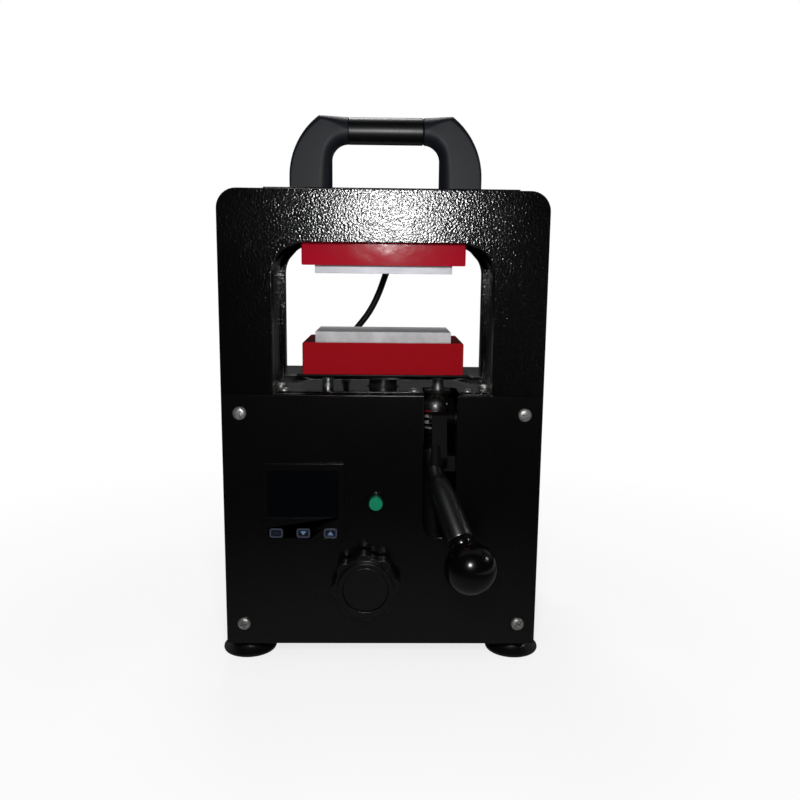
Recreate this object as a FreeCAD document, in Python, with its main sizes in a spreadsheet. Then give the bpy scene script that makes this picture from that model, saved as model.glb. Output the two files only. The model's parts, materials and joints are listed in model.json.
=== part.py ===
import FreeCAD, Part
import math
import os
import Sketcher

# Hand-pumped hydraulic heat press with two small heated plates, in millimetres.
# +Z is up, -Y is the front where the lever stands out, and the origin is on the
# ram's axis at the height of the surface that the rubber feet stand on.

SIZES = (
    # Frame
    ("frame_width", 281.0),
    ("frame_corner", 17.0),
    ("plate_thickness", 12.0),
    ("plate_gap", 80.0),
    ("foot_height", 14.5),
    ("base_height", 230.0),
    ("window_width", 190.0),
    ("window_height", 129.8),
    ("window_corner", 27.5),
    ("corner_step", 4.2),
    ("crown_height", 44.2),
    ("sill_height", 10.0),
    ("base_opening", 216.0),
    ("opening_corner", 12.0),
    ("crossbar_height", 30.0),
    ("bolster_thickness", 16.0),
    ("sheet", 2.0),
    ("liner_recess", 4.5),
    ("liner_sheet", 1.5),
    ("liner_skirt", 29.5),
    ("deck_flange", 14.0),
    ("deck_screw_edge", 0.7),
    ("deck_screw_corner", 6.2),
    ("deck_screw_front", 9.5),
    ("deck_screw_back", 4.5),
    ("head_width", 170.0),
    # Heated plates and their housings
    ("housing_length", 141.6),
    ("housing_height", 28.0),
    ("housing_gap", 0.3),
    ("housing_recess", 9.2),
    ("housing_round", 1.5),
    ("platen_length", 120.0),
    ("platen_depth", 60.0),
    ("platen_thickness", 24.0),
    ("platen_fit", 0.2),
    ("upper_proud", 7.0),
    ("lower_proud", 8.7),
    ("board_thickness", 6.0),
    ("heater_diameter", 9.5),
    ("heater_length", 100.0),
    ("heater_spacing", 34.0),
    ("heater_fit", 0.1),
    ("probe_diameter", 4.0),
    ("probe_length", 60.0),
    ("platen_stop", 0.3),
    # Carrier, ram and guide rods
    ("carrier_lift", 13.3),
    ("carrier_thickness", 2.9),
    ("carrier_overhang", 4.9),
    ("ram_diameter", 26.0),
    ("ram_foot_gap", 7.3),
    ("ram_pad_diameter", 47.0),
    ("ram_pad_thickness", 4.0),
    ("slide_fit", 0.05),
    ("deck_hole_gap", 2.0),
    ("rod_spacing", 102.4),
    ("rod_diameter", 10.5),
    ("rod_reach", 124.0),
    ("collar_diameter", 18.0),
    ("collar_height", 6.0),
    ("bush_diameter", 20.0),
    ("bush_length", 22.0),
    ("bush_flange", 28.0),
    ("bush_flange_thickness", 3.0),
    ("return_spring_diameter", 16.0),
    ("return_wire", 1.6),
    # Hydraulic unit
    ("jack_base_height", 42.0),
    ("jack_base_left", 44.0),
    ("jack_base_right", 62.0),
    ("jack_base_corner", 12.0),
    ("jack_base_gap", 1.5),
    ("reservoir_diameter", 66.0),
    ("reservoir_wall", 3.0),
    ("reservoir_floor", 8.0),
    ("barrel_wall", 6.0),
    ("cap_diameter", 70.0),
    ("cap_height", 12.0),
    ("cap_gap", 4.5),
    ("pump_x", 47.6),
    ("pump_y", -26.0),
    ("pump_diameter", 22.0),
    ("pump_foot_diameter", 30.0),
    ("pump_foot_height", 20.0),
    ("pump_top", 54.5),
    ("pump_bore_floor", 10.0),
    ("plunger_diameter", 12.0),
    ("plunger_head_diameter", 20.5),
    ("plunger_head_top", 4.2),
    ("washer_thickness", 3.0),
    ("pump_spring_diameter", 19.5),
    ("pump_spring_wire", 2.4),
    ("pump_floor_gap", 2.6),
    # Pump lever
    ("fulcrum_y", -42.5),
    ("lever_swing", 60.0),
    ("cross_pin_diameter", 4.0),
    ("cross_pin_drop", 12.0),
    ("cross_pin_play", 0.65),
    ("hub_radius", 5.0),
    ("fulcrum_bolt_diameter", 6.0),
    ("fulcrum_bolt_head", 10.0),
    ("fulcrum_bolt_head_height", 2.0),
    ("rocker_side_gap", 0.45),
    ("rocker_arm_thickness", 5.3),
    ("rocker_arm_end", 5.4),
    ("web_thickness", 13.0),
    ("ear_thickness", 6.0),
    ("ear_gap", 0.4),
    ("ear_boss_radius", 6.0),
    ("ear_depth", 26.0),
    ("ear_rise", 8.0),
    ("bracket_height", 14.0),
    ("bracket_drop", 4.0),
    ("neck_x", 46.4),
    ("neck_y", -60.0),
    ("neck_z", 176.1),
    ("neck_slope", 67.4),
    ("socket_radius", 7.5),
    ("socket_low", 6.5),
    ("socket_high", 24.0),
    ("rod_radius", 6.5),
    ("rod_bend", 25.0),
    ("rod_fit", 0.05),
    ("knob_x", 73.6),
    ("knob_y", -112.0),
    ("knob_z", 109.8),
    ("knob_ball_diameter", 44.0),
    ("knob_collar_radius", 10.0),
    ("knob_bore_rest", 8.0),
    ("grip_start", 4.6),
    ("grip_length", 57.9),
    ("grip_radius_small", 10.4),
    ("grip_radius_large", 11.8),
    ("grip_shoulder", 3.5),
    # Front cover and the slot for the lever
    ("cover_thickness", 2.0),
    ("cover_margin", 0.5),
    ("slot_left", 36.1),
    ("slot_width", 28.8),
    ("slot_drop", 128.6),
    ("notch_extra", 2.6),
    ("notch_depth", 49.0),
    ("notch_round", 7.0),
    ("screw_top_drop", 16.5),
    ("screw_bottom_rise", 19.5),
    ("screw_head_diameter", 11.7),
    ("screw_head_height", 3.4),
    ("screw_diameter", 5.0),
    ("screw_length", 11.0),
    ("small_head_diameter", 9.0),
    ("small_head_height", 2.8),
    ("small_screw_diameter", 4.0),
    ("small_screw_length", 8.0),
    # Controller, start button and release valve
    ("controller_x", -69.6),
    ("controller_z", 148.0),
    ("controller_side", 72.0),
    ("controller_case", 67.0),
    ("controller_depth", 40.0),
    ("bezel_proud", 3.0),
    ("display_width", 62.0),
    ("display_height", 42.0),
    ("display_rise", 8.0),
    ("display_proud", 0.4),
    ("inset_depth", 1.0),
    ("key_width", 13.0),
    ("key_height", 9.0),
    ("key_pitch", 24.0),
    ("key_drop", 27.4),
    ("key_proud", 0.3),
    ("button_x", -5.4),
    ("button_z", 149.0),
    ("button_diameter", 12.0),
    ("button_proud", 8.0),
    ("button_travel", 2.0),
    ("button_back", 3.0),
    ("button_fit", 0.3),
    ("button_bezel_diameter", 18.0),
    ("button_bezel_height", 2.5),
    ("button_barrel_diameter", 15.6),
    ("button_barrel_length", 20.0),
    ("valve_x", -14.0),
    ("valve_z", 75.0),
    ("valve_boss_diameter", 26.0),
    ("valve_boss_length", 6.0),
    ("valve_stem_diameter", 12.0),
    ("valve_seat_depth", 12.0),
    ("valve_hole_gap", 3.0),
    ("valve_knob_gap", 4.0),
    ("lobe_disc_diameter", 55.0),
    ("lobe_disc_thickness", 13.0),
    ("lobe_diameter", 14.0),
    ("lobe_reach", 24.0),
    ("lobe_count", 8),
    ("lobe_turn", 5.0),
    ("hub_ring_diameter", 49.0),
    ("hub_ring_height", 5.5),
    ("knob_cap_diameter", 40.0),
    ("knob_cap_recess", 1.0),
    ("knob_cap_thickness", 3.0),
    # Rear box, mains inlet and relay
    ("rear_box_depth", 78.0),
    ("rear_box_rise", 2.2),
    ("vent_width", 60.0),
    ("vent_height", 4.0),
    ("vent_pitch", 9.0),
    ("vent_count", 6),
    ("vent_x", -60.0),
    ("vent_low", 150.0),
    ("inlet_x", 80.0),
    ("inlet_z", 60.0),
    ("inlet_width", 50.0),
    ("inlet_height", 58.0),
    ("inlet_flange", 3.0),
    ("inlet_body_width", 31.0),
    ("inlet_body_height", 52.0),
    ("inlet_body_depth", 20.0),
    ("socket_width", 24.0),
    ("socket_height", 17.0),
    ("socket_depth", 15.0),
    ("socket_drop", 14.0),
    ("pin_spacing", 7.0),
    ("pin_width", 4.0),
    ("pin_thickness", 2.0),
    ("pin_length", 9.0),
    ("switch_rise", 13.0),
    ("switch_width", 18.0),
    ("switch_height", 20.0),
    ("switch_play", 0.8),
    ("switch_depth", 8.0),
    ("switch_throw", 14.0),
    ("switch_proud", 2.8),
    ("switch_valley", 1.0),
    ("switch_pivot_diameter", 3.6),
    ("switch_pivot_reach", 1.2),
    ("relay_width", 45.0),
    ("relay_length", 58.0),
    ("relay_height", 23.0),
    ("relay_x", -75.0),
    # Feet
    ("foot_diameter", 49.0),
    ("foot_inset", 17.5),
    ("foot_lip", 3.0),
    ("foot_neck_diameter", 28.0),
    ("foot_recess_diameter", 14.0),
    ("foot_recess_depth", 7.0),
    ("foot_screw_diameter", 6.0),
    ("foot_screw_head", 11.0),
    ("foot_screw_head_height", 4.0),
    ("foot_screw_length", 16.0),
    # Carrying handle
    ("top_plate_left", 104.5),
    ("top_plate_right", 118.0),
    ("top_plate_depth", 58.0),
    ("top_plate_thickness", 3.0),
    ("handle_shift", 1.2),
    ("handle_width", 169.3),
    ("handle_height", 62.8),
    ("handle_opening", 95.0),
    ("handle_bar", 23.4),
    ("handle_depth", 26.0),
    ("handle_cheek", 26.0),
    ("handle_shoulder", 21.0),
    ("handle_shoulder_round", 66.0),
    ("handle_inner_corner", 14.0),
    ("handle_outer_edge", 1.5),
    ("handle_inner_edge", 8.0),
    ("grip_half", 33.0),
    # Lead of the upper heater
    ("lead_diameter", 6.5),
    ("gland_diameter", 12.0),
    ("gland_nut_height", 6.0),
    ("gland_nose_height", 6.0),
    ("gland_nose_diameter", 9.5),
    ("gland_x", 6.0),
    ("gland_rise", 9.0),
)

# Points that the upper heater's lead passes, from its gland on the upper housing
# to its gland on the rear box.
LEAD_ROUTE = (
    (6.0, 51.7, 364.5),
    (6.0, 64.7, 364.5),
    (5.6, 77.0, 360.2),
    (3.8, 87.0, 352.0),
    (0.0, 93.6, 341.0),
    (-4.3, 96.2, 328.6),
    (-9.8, 96.2, 316.4),
    (-16.1, 95.3, 305.5),
    (-22.9, 94.6, 296.8),
    (-30.4, 94.3, 287.5),
    (-36.2, 94.4, 277.0),
    (-38.7, 94.5, 266.6),
    (-39.0, 94.5, 258.7),
)

Vector = FreeCAD.Vector
doc = FreeCAD.newDocument("heat_press")


class Size:
    """A length or an angle: its formula on the sheet, and its present value."""

    def __init__(self, formula, value):
        self.formula = formula
        self.value = float(value)

    def joined(self, sign, other, value):
        return Size("(%s %s %s)" % (self.formula, sign, as_size(other).formula), value)

    def __add__(self, other):
        return self.joined("+", other, self.value + as_size(other).value)

    def __sub__(self, other):
        return self.joined("-", other, self.value - as_size(other).value)

    def __mul__(self, other):
        return self.joined("*", other, self.value * as_size(other).value)

    def __truediv__(self, other):
        return self.joined("/", other, self.value / as_size(other).value)

    def __neg__(self):
        return Size("(0 - %s)" % self.formula, -self.value)


def as_size(thing):
    """Takes a plain number as a fixed size."""
    if isinstance(thing, Size):
        return thing
    return Size("(%.9f)" % thing, thing)


def slope_of(angle):
    """The tangent of an angle in degrees."""
    return Size("tan(%s)" % angle.formula, math.tan(math.radians(angle.value)))


class Sheet:
    """Puts the driving sizes into the document's sheet and hands them out by name."""

    def __init__(self, rows):
        page = doc.addObject("Spreadsheet::Sheet", "Sizes")
        for row, (name, value) in enumerate(rows, 1):
            page.set("A%d" % row, name)
            page.set("B%d" % row, str(value))
            page.setAlias("B%d" % row, name)
        doc.recompute()
        for name, value in rows:
            setattr(self, name, Size("Sizes.%s" % name, page.get(name)))


S = Sheet(SIZES)

# How a piece made along +Z is turned to face another way
TURNS = {
    "up": FreeCAD.Rotation(),
    "down": FreeCAD.Rotation(Vector(1, 0, 0), 180),
    "front": FreeCAD.Rotation(Vector(1, 0, 0), 90),
    "back": FreeCAD.Rotation(Vector(1, 0, 0), -90),
    "right": FreeCAD.Rotation(Vector(0, 1, 0), 90),
    "left": FreeCAD.Rotation(Vector(0, 1, 0), -90),
}

# Each origin plane with the letters of its two drawn axes and of its normal
PLANES = {"XY_Plane": "xyz", "XZ_Plane": "xzy", "YZ_Plane": "yzx"}

NODES = {}


def node(name, thing):
    """Gives a finished sub-part its name."""
    thing.Label = name
    NODES[name] = thing
    return thing


def bind(thing, path, size):
    thing.setExpression(path, as_size(size).formula)


def place(thing, spot, facing="up"):
    """Puts a piece at a spot (x, y, z), turned to face one way."""
    thing.Placement = FreeCAD.Placement(Vector(*[as_size(s).value for s in spot]), TURNS[facing])
    for letter, size in zip("xyz", spot):
        bind(thing, "Placement.Base.%s" % letter, size)
    return thing


def aim(thing, start, direction):
    """Puts a piece made along +Z at a point, along a slanting direction."""
    for letter in "xyz":
        thing.setExpression("Placement.Base.%s" % letter, None)
    thing.Placement = FreeCAD.Placement(start, FreeCAD.Rotation(Vector(0, 0, 1), direction))
    return thing


def box(x, y, z):
    """A block between two limits along each axis."""
    made = doc.addObject("Part::Box", "Block")
    for side, (low, high) in zip(("Length", "Width", "Height"), (x, y, z)):
        bind(made, side, as_size(high) - low)
    return place(made, (x[0], y[0], z[0]))


def bar(spot, length, radius, facing="up"):
    """A round bar from a spot, along the way it faces."""
    made = doc.addObject("Part::Cylinder", "Bar")
    bind(made, "Radius", radius)
    bind(made, "Height", length)
    return place(made, spot, facing)


def ball(spot, radius):
    made = doc.addObject("Part::Sphere", "Ball")
    bind(made, "Radius", radius)
    return place(made, spot)


def fuse(*pieces):
    made = doc.addObject("Part::MultiFuse", "Joined")
    made.Shapes = list(pieces)
    made.Refine = True
    return made


def cut(base, *tools):
    made = doc.addObject("Part::Cut", "Cut")
    made.Base = base
    made.Tool = tools[0] if len(tools) == 1 else fuse(*tools)
    made.Refine = True
    return made


def group(*pieces):
    """Several separate solids that are one sub-part."""
    made = doc.addObject("Part::Compound", "Group")
    made.Links = list(pieces)
    return made


def copies(piece, spots, facing="up"):
    """Equal pieces at several spots, as one sub-part."""
    links = []
    for spot in spots:
        link = doc.addObject("App::Link", "Copy")
        link.LinkedObject = piece
        links.append(place(link, spot, facing))
    return group(*links)


def sketch_on(body, role, points):
    """A closed outline of straight lines on one of the body's own origin planes."""
    sketch = body.newObject("Sketcher::SketchObject", "Outline")
    plane = [item for item in body.Origin.OriginFeatures if item.Role == role][0]
    sketch.AttachmentSupport = [(plane, "")]
    sketch.MapMode = "FlatFace"
    spots = [(as_size(across), as_size(along)) for across, along in points]
    ends = spots[1:] + spots[:1]
    for (ax, ay), (bx, by) in zip(spots, ends):
        line = Part.LineSegment(Vector(ax.value, ay.value, 0), Vector(bx.value, by.value, 0))
        sketch.addGeometry(line, False)
    for index, (across, along) in enumerate(spots):
        following = (index + 1) % len(spots)
        sketch.addConstraint(Sketcher.Constraint("Coincident", index, 2, following, 1))
    for index, pair in enumerate(spots):
        for kind, size in zip(("DistanceX", "DistanceY"), pair):
            number = sketch.addConstraint(Sketcher.Constraint(kind, -1, 1, index, 1, size.value))
            sketch.setExpression("Constraints[%d]" % number, size.formula)
    return sketch


def corner_edges(shape, role, corners):
    """Names of the straight edges that stand on given corners of an outline."""
    across, along, normal = PLANES[role]
    found = []
    for number, edge in enumerate(shape.Edges, 1):
        tangent = edge.tangentAt(edge.FirstParameter)
        point = edge.Vertexes[0].Point
        if abs(getattr(tangent, normal)) < 0.999:
            continue
        for corner in corners:
            gap_across = getattr(point, across) - as_size(corner[0]).value
            gap_along = getattr(point, along) - as_size(corner[1]).value
            if abs(gap_across) + abs(gap_along) < 0.001:
                found.append("Edge%d" % number)
    return found


def prism(role, points, low, high, rounds=()):
    """An outline drawn on a plane and padded from low to high, with rounded corners."""
    body = doc.addObject("PartDesign::Body", "Prism")
    sketch = sketch_on(body, role, points)
    pad = body.newObject("PartDesign::Pad", "Pad")
    pad.Profile = sketch
    bind(pad, "Length", as_size(high) - low)
    normal = PLANES[role][2]
    bind(body, "Placement.Base.%s" % normal, high if role == "XZ_Plane" else low)
    doc.recompute()
    for radius, corners in rounds:
        names = corner_edges(body.Tip.Shape, role, corners)
        base = body.Tip
        rounding = body.newObject("PartDesign::Fillet", "Rounding")
        rounding.Base = (base, names)
        bind(rounding, "Radius", radius)
        doc.recompute()
    return body


def turned(points, spot=(0, 0, 0), facing="up"):
    """A profile of (radius, height) points turned round its own axis."""
    body = doc.addObject("PartDesign::Body", "Turned")
    sketch = sketch_on(body, "XZ_Plane", points)
    turn = body.newObject("PartDesign::Revolution", "Turn")
    turn.Profile = sketch
    turn.ReferenceAxis = (sketch, ["V_Axis"])
    turn.Angle = 360
    return place(body, spot, facing)


def softened(piece, radius, chosen):
    """Rounds the edges that a test picks out."""
    doc.recompute()
    made = doc.addObject("Part::Fillet", "Softened")
    made.Base = piece
    size = as_size(radius).value
    edges = enumerate(piece.Shape.Edges, 1)
    made.Edges = [(number, size, size) for number, edge in edges if chosen(edge)]
    return made


def pan_screw(head_diameter, head_height, diameter, length):
    """A pan-head screw with a cross recess, its head's underside at zero."""
    head = head_diameter / 2
    shank = diameter / 2
    profile = turned((
        (0, -length),
        (shank, -length),
        (shank, 0),
        (head, 0),
        (head, head_height * 0.45),
        (head * 0.8, head_height * 0.85),
        (head * 0.5, head_height),
        (0, head_height),
    ))
    arm = head * 0.55
    wing = head * 0.11
    floor = head_height * 0.4
    recess = [
        box((-arm, arm), (-wing, wing), (floor, head_height * 2)),
        box((-wing, wing), (-arm, arm), (floor, head_height * 2)),
    ]
    return cut(profile, *recess)


# Main levels and planes
half_width = S.frame_width / 2
window_half = S.window_width / 2
bottom_low = S.foot_height
bottom_top = bottom_low + S.sheet
deck_top = S.foot_height + S.base_height
deck_low = deck_top - S.sheet
window_top = deck_top + S.window_height
frame_top = window_top + S.crown_height
gap_front = -(S.plate_gap / 2)
gap_back = S.plate_gap / 2
front_plate_face = gap_front - S.plate_thickness
rear_plate_face = gap_back + S.plate_thickness
cover_face = front_plate_face - S.cover_thickness
panel_face = rear_plate_face + S.rear_box_depth
panel_inner = panel_face - S.sheet
lid_top = deck_top + S.rear_box_rise
lid_low = lid_top - S.sheet
opening_low = bottom_top + S.crossbar_height
opening_top = deck_top - S.sill_height
slot_right = S.slot_left + S.slot_width
notch_right = slot_right + S.notch_extra
notch_back = cover_face + S.notch_depth
slot_radius = S.slot_width / 2
slot_centre = S.slot_left + slot_radius

carrier_low = deck_top + S.carrier_lift
carrier_top = carrier_low + S.carrier_thickness
lower_top = carrier_top + S.housing_height
lower_face = lower_top + S.lower_proud
upper_top = window_top + S.housing_recess
upper_low = upper_top - S.housing_height
upper_face = upper_low - S.upper_proud
housing_half = S.housing_length / 2
housing_front = gap_front + S.housing_gap
housing_rear = gap_back - S.housing_gap
rod_x = S.rod_spacing / 2
rod_r = S.rod_diameter / 2
ram_r = S.ram_diameter / 2


def frame_outline(margin=0):
    """The frame's outer outline, drawn in by a margin at its sides and top."""
    side = half_width - margin
    top = frame_top - margin
    points = ((-side, bottom_top), (side, bottom_top), (side, top), (-side, top))
    return points, points[2:]


def window_cutter(shoulders):
    """What the window takes out of a portal plate, with low shoulders or without."""
    points = (
        (-window_half, deck_top),
        (window_half, deck_top),
        (window_half, window_top),
        (-window_half, window_top),
    )
    hole = prism("XZ_Plane", points, front_plate_face - 1, rear_plate_face + 1,
                 [(S.window_corner, points[2:])])
    if not shoulders:
        return hole
    straight = window_half - S.window_corner
    kept = []
    for side, x in ((-1, (-window_half - 1, -straight)), (1, (straight, window_half + 1))):
        block = box(x, (gap_back - 1, rear_plate_face + 2), (deck_top - 1, deck_top + S.corner_step))
        curve = bar((straight * side, gap_back - 2, deck_top + S.window_corner), S.plate_thickness + 6,
                    S.window_corner, "back")
        kept.append(cut(block, curve))
    return cut(hole, *kept)


def base_cutter():
    """What the opening below the deck takes out of a portal plate."""
    half = S.base_opening / 2
    points = ((-half, opening_low), (half, opening_low), (half, opening_top), (-half, opening_top))
    return prism("XZ_Plane", points, front_plate_face - 1, rear_plate_face + 1, [(S.opening_corner, points)])


def make_portal_plates():
    """The two thick steel plates that take the pressing force."""
    points, top = frame_outline()
    rounds = [(S.frame_corner, top)]
    front = prism("XZ_Plane", points, front_plate_face, gap_front, rounds)
    slot = box((S.slot_left, notch_right), (front_plate_face - 1, gap_front + 1),
               (opening_top - 1, deck_top + 1))
    taps = [bar((x, front_plate_face - 1, z), S.screw_length + 1, S.screw_diameter / 2 + S.slide_fit, "back")
            for x, z in cover_screw_spots()]
    node("front_portal_plate", cut(front, window_cutter(False), base_cutter(), slot, *taps))
    rear = prism("XZ_Plane", points, gap_back, rear_plate_face, rounds)
    node("rear_portal_plate", cut(rear, window_cutter(True), base_cutter()))


def make_frame_skins():
    """Outer sheet round the plates, and the liners inside the window."""
    outer, outer_top = frame_outline()
    inner, inner_top = frame_outline(S.sheet)
    skin = prism("XZ_Plane", outer, gap_front, gap_back, [(S.frame_corner, outer_top)])
    low_inner = tuple((across, bottom_top - 1) for across, along in inner[:2]) + inner[2:]
    core = prism("XZ_Plane", low_inner, gap_front - 1, gap_back + 1,
                 [(S.frame_corner - S.sheet, inner_top)])
    node("frame_wrap", cut(skin, core))
    side = window_half + S.liner_recess
    top = window_top + S.liner_recess
    radius = S.window_corner + S.liner_recess
    low = deck_top - S.liner_skirt
    wide = side + S.liner_sheet
    high = top + S.liner_sheet
    shell_points = ((-wide, low), (wide, low), (wide, high), (-wide, high))
    shell = prism("XZ_Plane", shell_points, gap_front, gap_back,
                  [(radius + S.liner_sheet, shell_points[2:])])
    core_points = ((-side, low - 1), (side, low - 1), (side, top), (-side, top))
    hollow = prism("XZ_Plane", core_points, gap_front - 1, gap_back + 1, [(radius, core_points[2:])])
    middle_half = housing_half + S.housing_gap
    middle = box((-middle_half, middle_half), (gap_front - 1, gap_back + 1), (low, high + 1))
    node("window_liners", cut(shell, hollow, middle))


def make_crown_and_bolster():
    """The steel blocks that the upper housing hangs from and the jack stands on."""
    half = S.head_width / 2
    node("pressure_head", box((-half, half), (gap_front, gap_back), (upper_top, frame_top - S.sheet)))
    half = S.base_opening / 2
    node("bolster_plate", box((-half, half), (gap_front, gap_back),
                              (opening_low - S.bolster_thickness, opening_low)))


def make_bottom_plate():
    half = half_width
    plate = box((-half, half), (front_plate_face, panel_face), (bottom_low, bottom_top))
    holes = [bar((x, y, bottom_low - 1), S.sheet + 2, S.foot_screw_diameter / 2 + S.slide_fit)
             for x, y in foot_spots()]
    node("bottom_plate", cut(plate, *holes))


def foot_spots():
    """The centres of the four feet."""
    across = half_width - S.foot_inset
    front = cover_face + S.foot_diameter / 2
    rear = panel_face - S.foot_diameter / 2
    return [(x, y) for y in (front, rear) for x in (-across, across)]


def make_feet():
    """Rubber feet with a flared lip, and the screws that hold them."""
    rim = S.foot_diameter / 2
    neck = S.foot_neck_diameter / 2
    recess = S.foot_recess_diameter / 2
    hole = S.foot_screw_diameter / 2 + S.slide_fit
    height = S.foot_height
    depth = S.foot_recess_depth
    foot = turned((
        (recess, 0),
        (rim - S.foot_lip * 0.6, 0),
        (rim, S.foot_lip * 0.5),
        (rim, S.foot_lip),
        (neck + S.foot_lip, S.foot_lip * 2),
        (neck, height * 0.75),
        (neck, height),
        (hole, height),
        (hole, depth),
        (recess, depth),
    ))
    spots = [(x, y, 0) for x, y in foot_spots()]
    node("rubber_feet", copies(foot, spots))
    head = S.foot_screw_head / 2
    shank = S.foot_screw_diameter / 2
    head_low = depth - S.foot_screw_head_height
    screw = turned((
        (0, head_low),
        (head, head_low),
        (head, depth),
        (shank, depth),
        (shank, depth + S.foot_screw_length),
        (0, depth + S.foot_screw_length),
    ))
    node("foot_screws", copies(screw, spots))


def make_deck():
    """The plate that covers the base inside the window, notched for the pump."""
    side = window_half + S.liner_recess
    top = box((-side, side), (gap_front, gap_back), (deck_low, deck_top))
    flanges = [
        box((-side, S.sheet - side), (gap_front, gap_back), (deck_top - S.deck_flange, deck_top)),
        box((side - S.sheet, side), (gap_front, gap_back), (deck_top - S.deck_flange, deck_top)),
    ]
    notch_points = (
        (S.slot_left, gap_front - 1),
        (notch_right, gap_front - 1),
        (notch_right, notch_back),
        (S.slot_left, notch_back),
    )
    notch = prism("XY_Plane", notch_points, deck_low - 1, deck_top + 1, [(S.notch_round, notch_points[2:3])])
    holes = [bar((0, 0, deck_low - 1), S.sheet + 2, ram_r + S.deck_hole_gap)]
    holes += [bar((x, 0, deck_low - 1), S.sheet + 2, rod_r + S.deck_hole_gap / 2) for x in (-rod_x, rod_x)]
    screw_holes = [bar((x, y, deck_low - 1), S.sheet + 2, S.small_screw_diameter / 2 + S.slide_fit)
                   for x, y in deck_screw_spots()]
    node("deck_plate", cut(fuse(top, *flanges), notch, *(holes + screw_holes)))


def deck_screw_spots():
    """Screws at the deck's sides and along its front edge, clear of the notch."""
    edge = window_half - S.deck_screw_edge
    corner = edge - S.deck_screw_corner
    near = gap_front + S.deck_screw_front
    beside_notch = S.slot_left - 8.2
    past_notch = notch_right + 8.7
    return (
        (-edge, -S.deck_screw_back), (edge, -S.deck_screw_back),
        (-corner, near), (beside_notch, near), (past_notch, near),
    )


def make_small_screws():
    """The small screws of the deck."""
    screw = pan_screw(S.small_head_diameter, S.small_head_height,
                      S.small_screw_diameter, S.small_screw_length)
    spots = [(x, y, deck_top) for x, y in deck_screw_spots()]
    node("small_screws", copies(screw, spots))


def make_front_cover():
    """The sheet that closes the front of the base, with its cut-outs."""
    half = half_width - S.cover_margin
    y = (cover_face, front_plate_face)
    through = (cover_face - 1, front_plate_face + 1)
    sheet = box((-half, half), y, (bottom_low, deck_top))
    slot_low = deck_top - S.slot_drop + slot_radius
    reach = S.cover_thickness + 2
    tools = [
        box((S.slot_left, slot_right), through, (slot_low, deck_top + 1)),
        bar((slot_centre, cover_face - 1, slot_low), reach, slot_radius, "back"),
        box((S.controller_x - S.controller_case / 2, S.controller_x + S.controller_case / 2), through,
            (S.controller_z - S.controller_case / 2, S.controller_z + S.controller_case / 2)),
        bar((S.button_x, cover_face - 1, S.button_z), reach,
            S.button_barrel_diameter / 2 + S.slide_fit, "back"),
        bar((S.valve_x, cover_face - 1, S.valve_z), reach,
            S.valve_stem_diameter / 2 + S.valve_hole_gap, "back"),
    ]
    tools += [bar((x, cover_face - 1, z), reach, S.screw_diameter / 2 + S.slide_fit, "back")
              for x, z in cover_screw_spots()]
    node("front_cover", cut(sheet, *tools))


def cover_screw_spots():
    """Screws in the middle of the plate's sides, beside the opening."""
    x = (half_width + S.base_opening / 2) / 2
    high = deck_top - S.screw_top_drop
    low = bottom_low + S.screw_bottom_rise
    return [(side, z) for z in (high, low) for side in (-x, x)]


def make_cover_screws():
    """Pan-head screws of the front cover, and the same screws on the rear panel."""
    screw = pan_screw(S.screw_head_diameter, S.screw_head_height, S.screw_diameter, S.screw_length)
    front = [(x, cover_face, z) for x, z in cover_screw_spots()]
    back = [(x, panel_face, z) for x, z in panel_screw_spots()]
    node("front_cover_screws", copies(screw, front, "front"))
    node("rear_panel_screws", copies(screw, back, "back"))


def panel_screw_spots():
    inset = S.screw_head_diameter
    high = deck_top - inset
    low = bottom_top + inset
    return [(x, z) for z in (high, low) for x in (inset - half_width, half_width - inset)]


def make_rear_box():
    """The sheet box behind the frame, which holds the relay and the mains inlet."""
    y = (rear_plate_face, panel_inner)
    outer = box((-half_width, half_width), y, (bottom_top, lid_top))
    inner = box((S.sheet - half_width, half_width - S.sheet), (rear_plate_face - 1, panel_inner + 1),
                (bottom_top - 1, lid_low))
    lead_end = LEAD_ROUTE[-1]
    hole = bar((lead_end[0], lead_end[1], lid_low - 1), S.sheet + 2, S.gland_nose_diameter / 2)
    tabs = []
    for x, z in panel_screw_spots():
        reach = (x - S.screw_diameter, half_width) if x.value > 0 else (-half_width, x + S.screw_diameter)
        tabs.append(box(reach, (panel_inner - S.screw_length, panel_inner),
                        (z - S.screw_diameter, z + S.screw_diameter)))
    shell = fuse(cut(outer, inner, hole), *tabs)
    bores = [bar((x, panel_face, z), S.screw_length + S.sheet, S.screw_diameter / 2 + S.slide_fit, "front")
             for x, z in panel_screw_spots()]
    node("rear_housing", cut(shell, *bores))
    through = (panel_inner - 1, panel_face + 1)
    panel = box((-half_width, half_width), (panel_inner, panel_face), (bottom_top, lid_top))
    vents = [box((S.vent_x - S.vent_width / 2, S.vent_x + S.vent_width / 2), through,
                 (S.vent_low + S.vent_pitch * index, S.vent_low + S.vent_pitch * index + S.vent_height))
             for index in range(int(S.vent_count.value))]
    inlet = box((S.inlet_x - S.inlet_body_width / 2, S.inlet_x + S.inlet_body_width / 2), through,
                (S.inlet_z - S.inlet_body_height / 2, S.inlet_z + S.inlet_body_height / 2))
    holes = [bar((x, panel_face + 1, z), S.sheet + 2, S.screw_diameter / 2 + S.slide_fit, "front")
             for x, z in panel_screw_spots()]
    node("rear_panel", cut(panel, inlet, *(vents + holes)))


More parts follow.
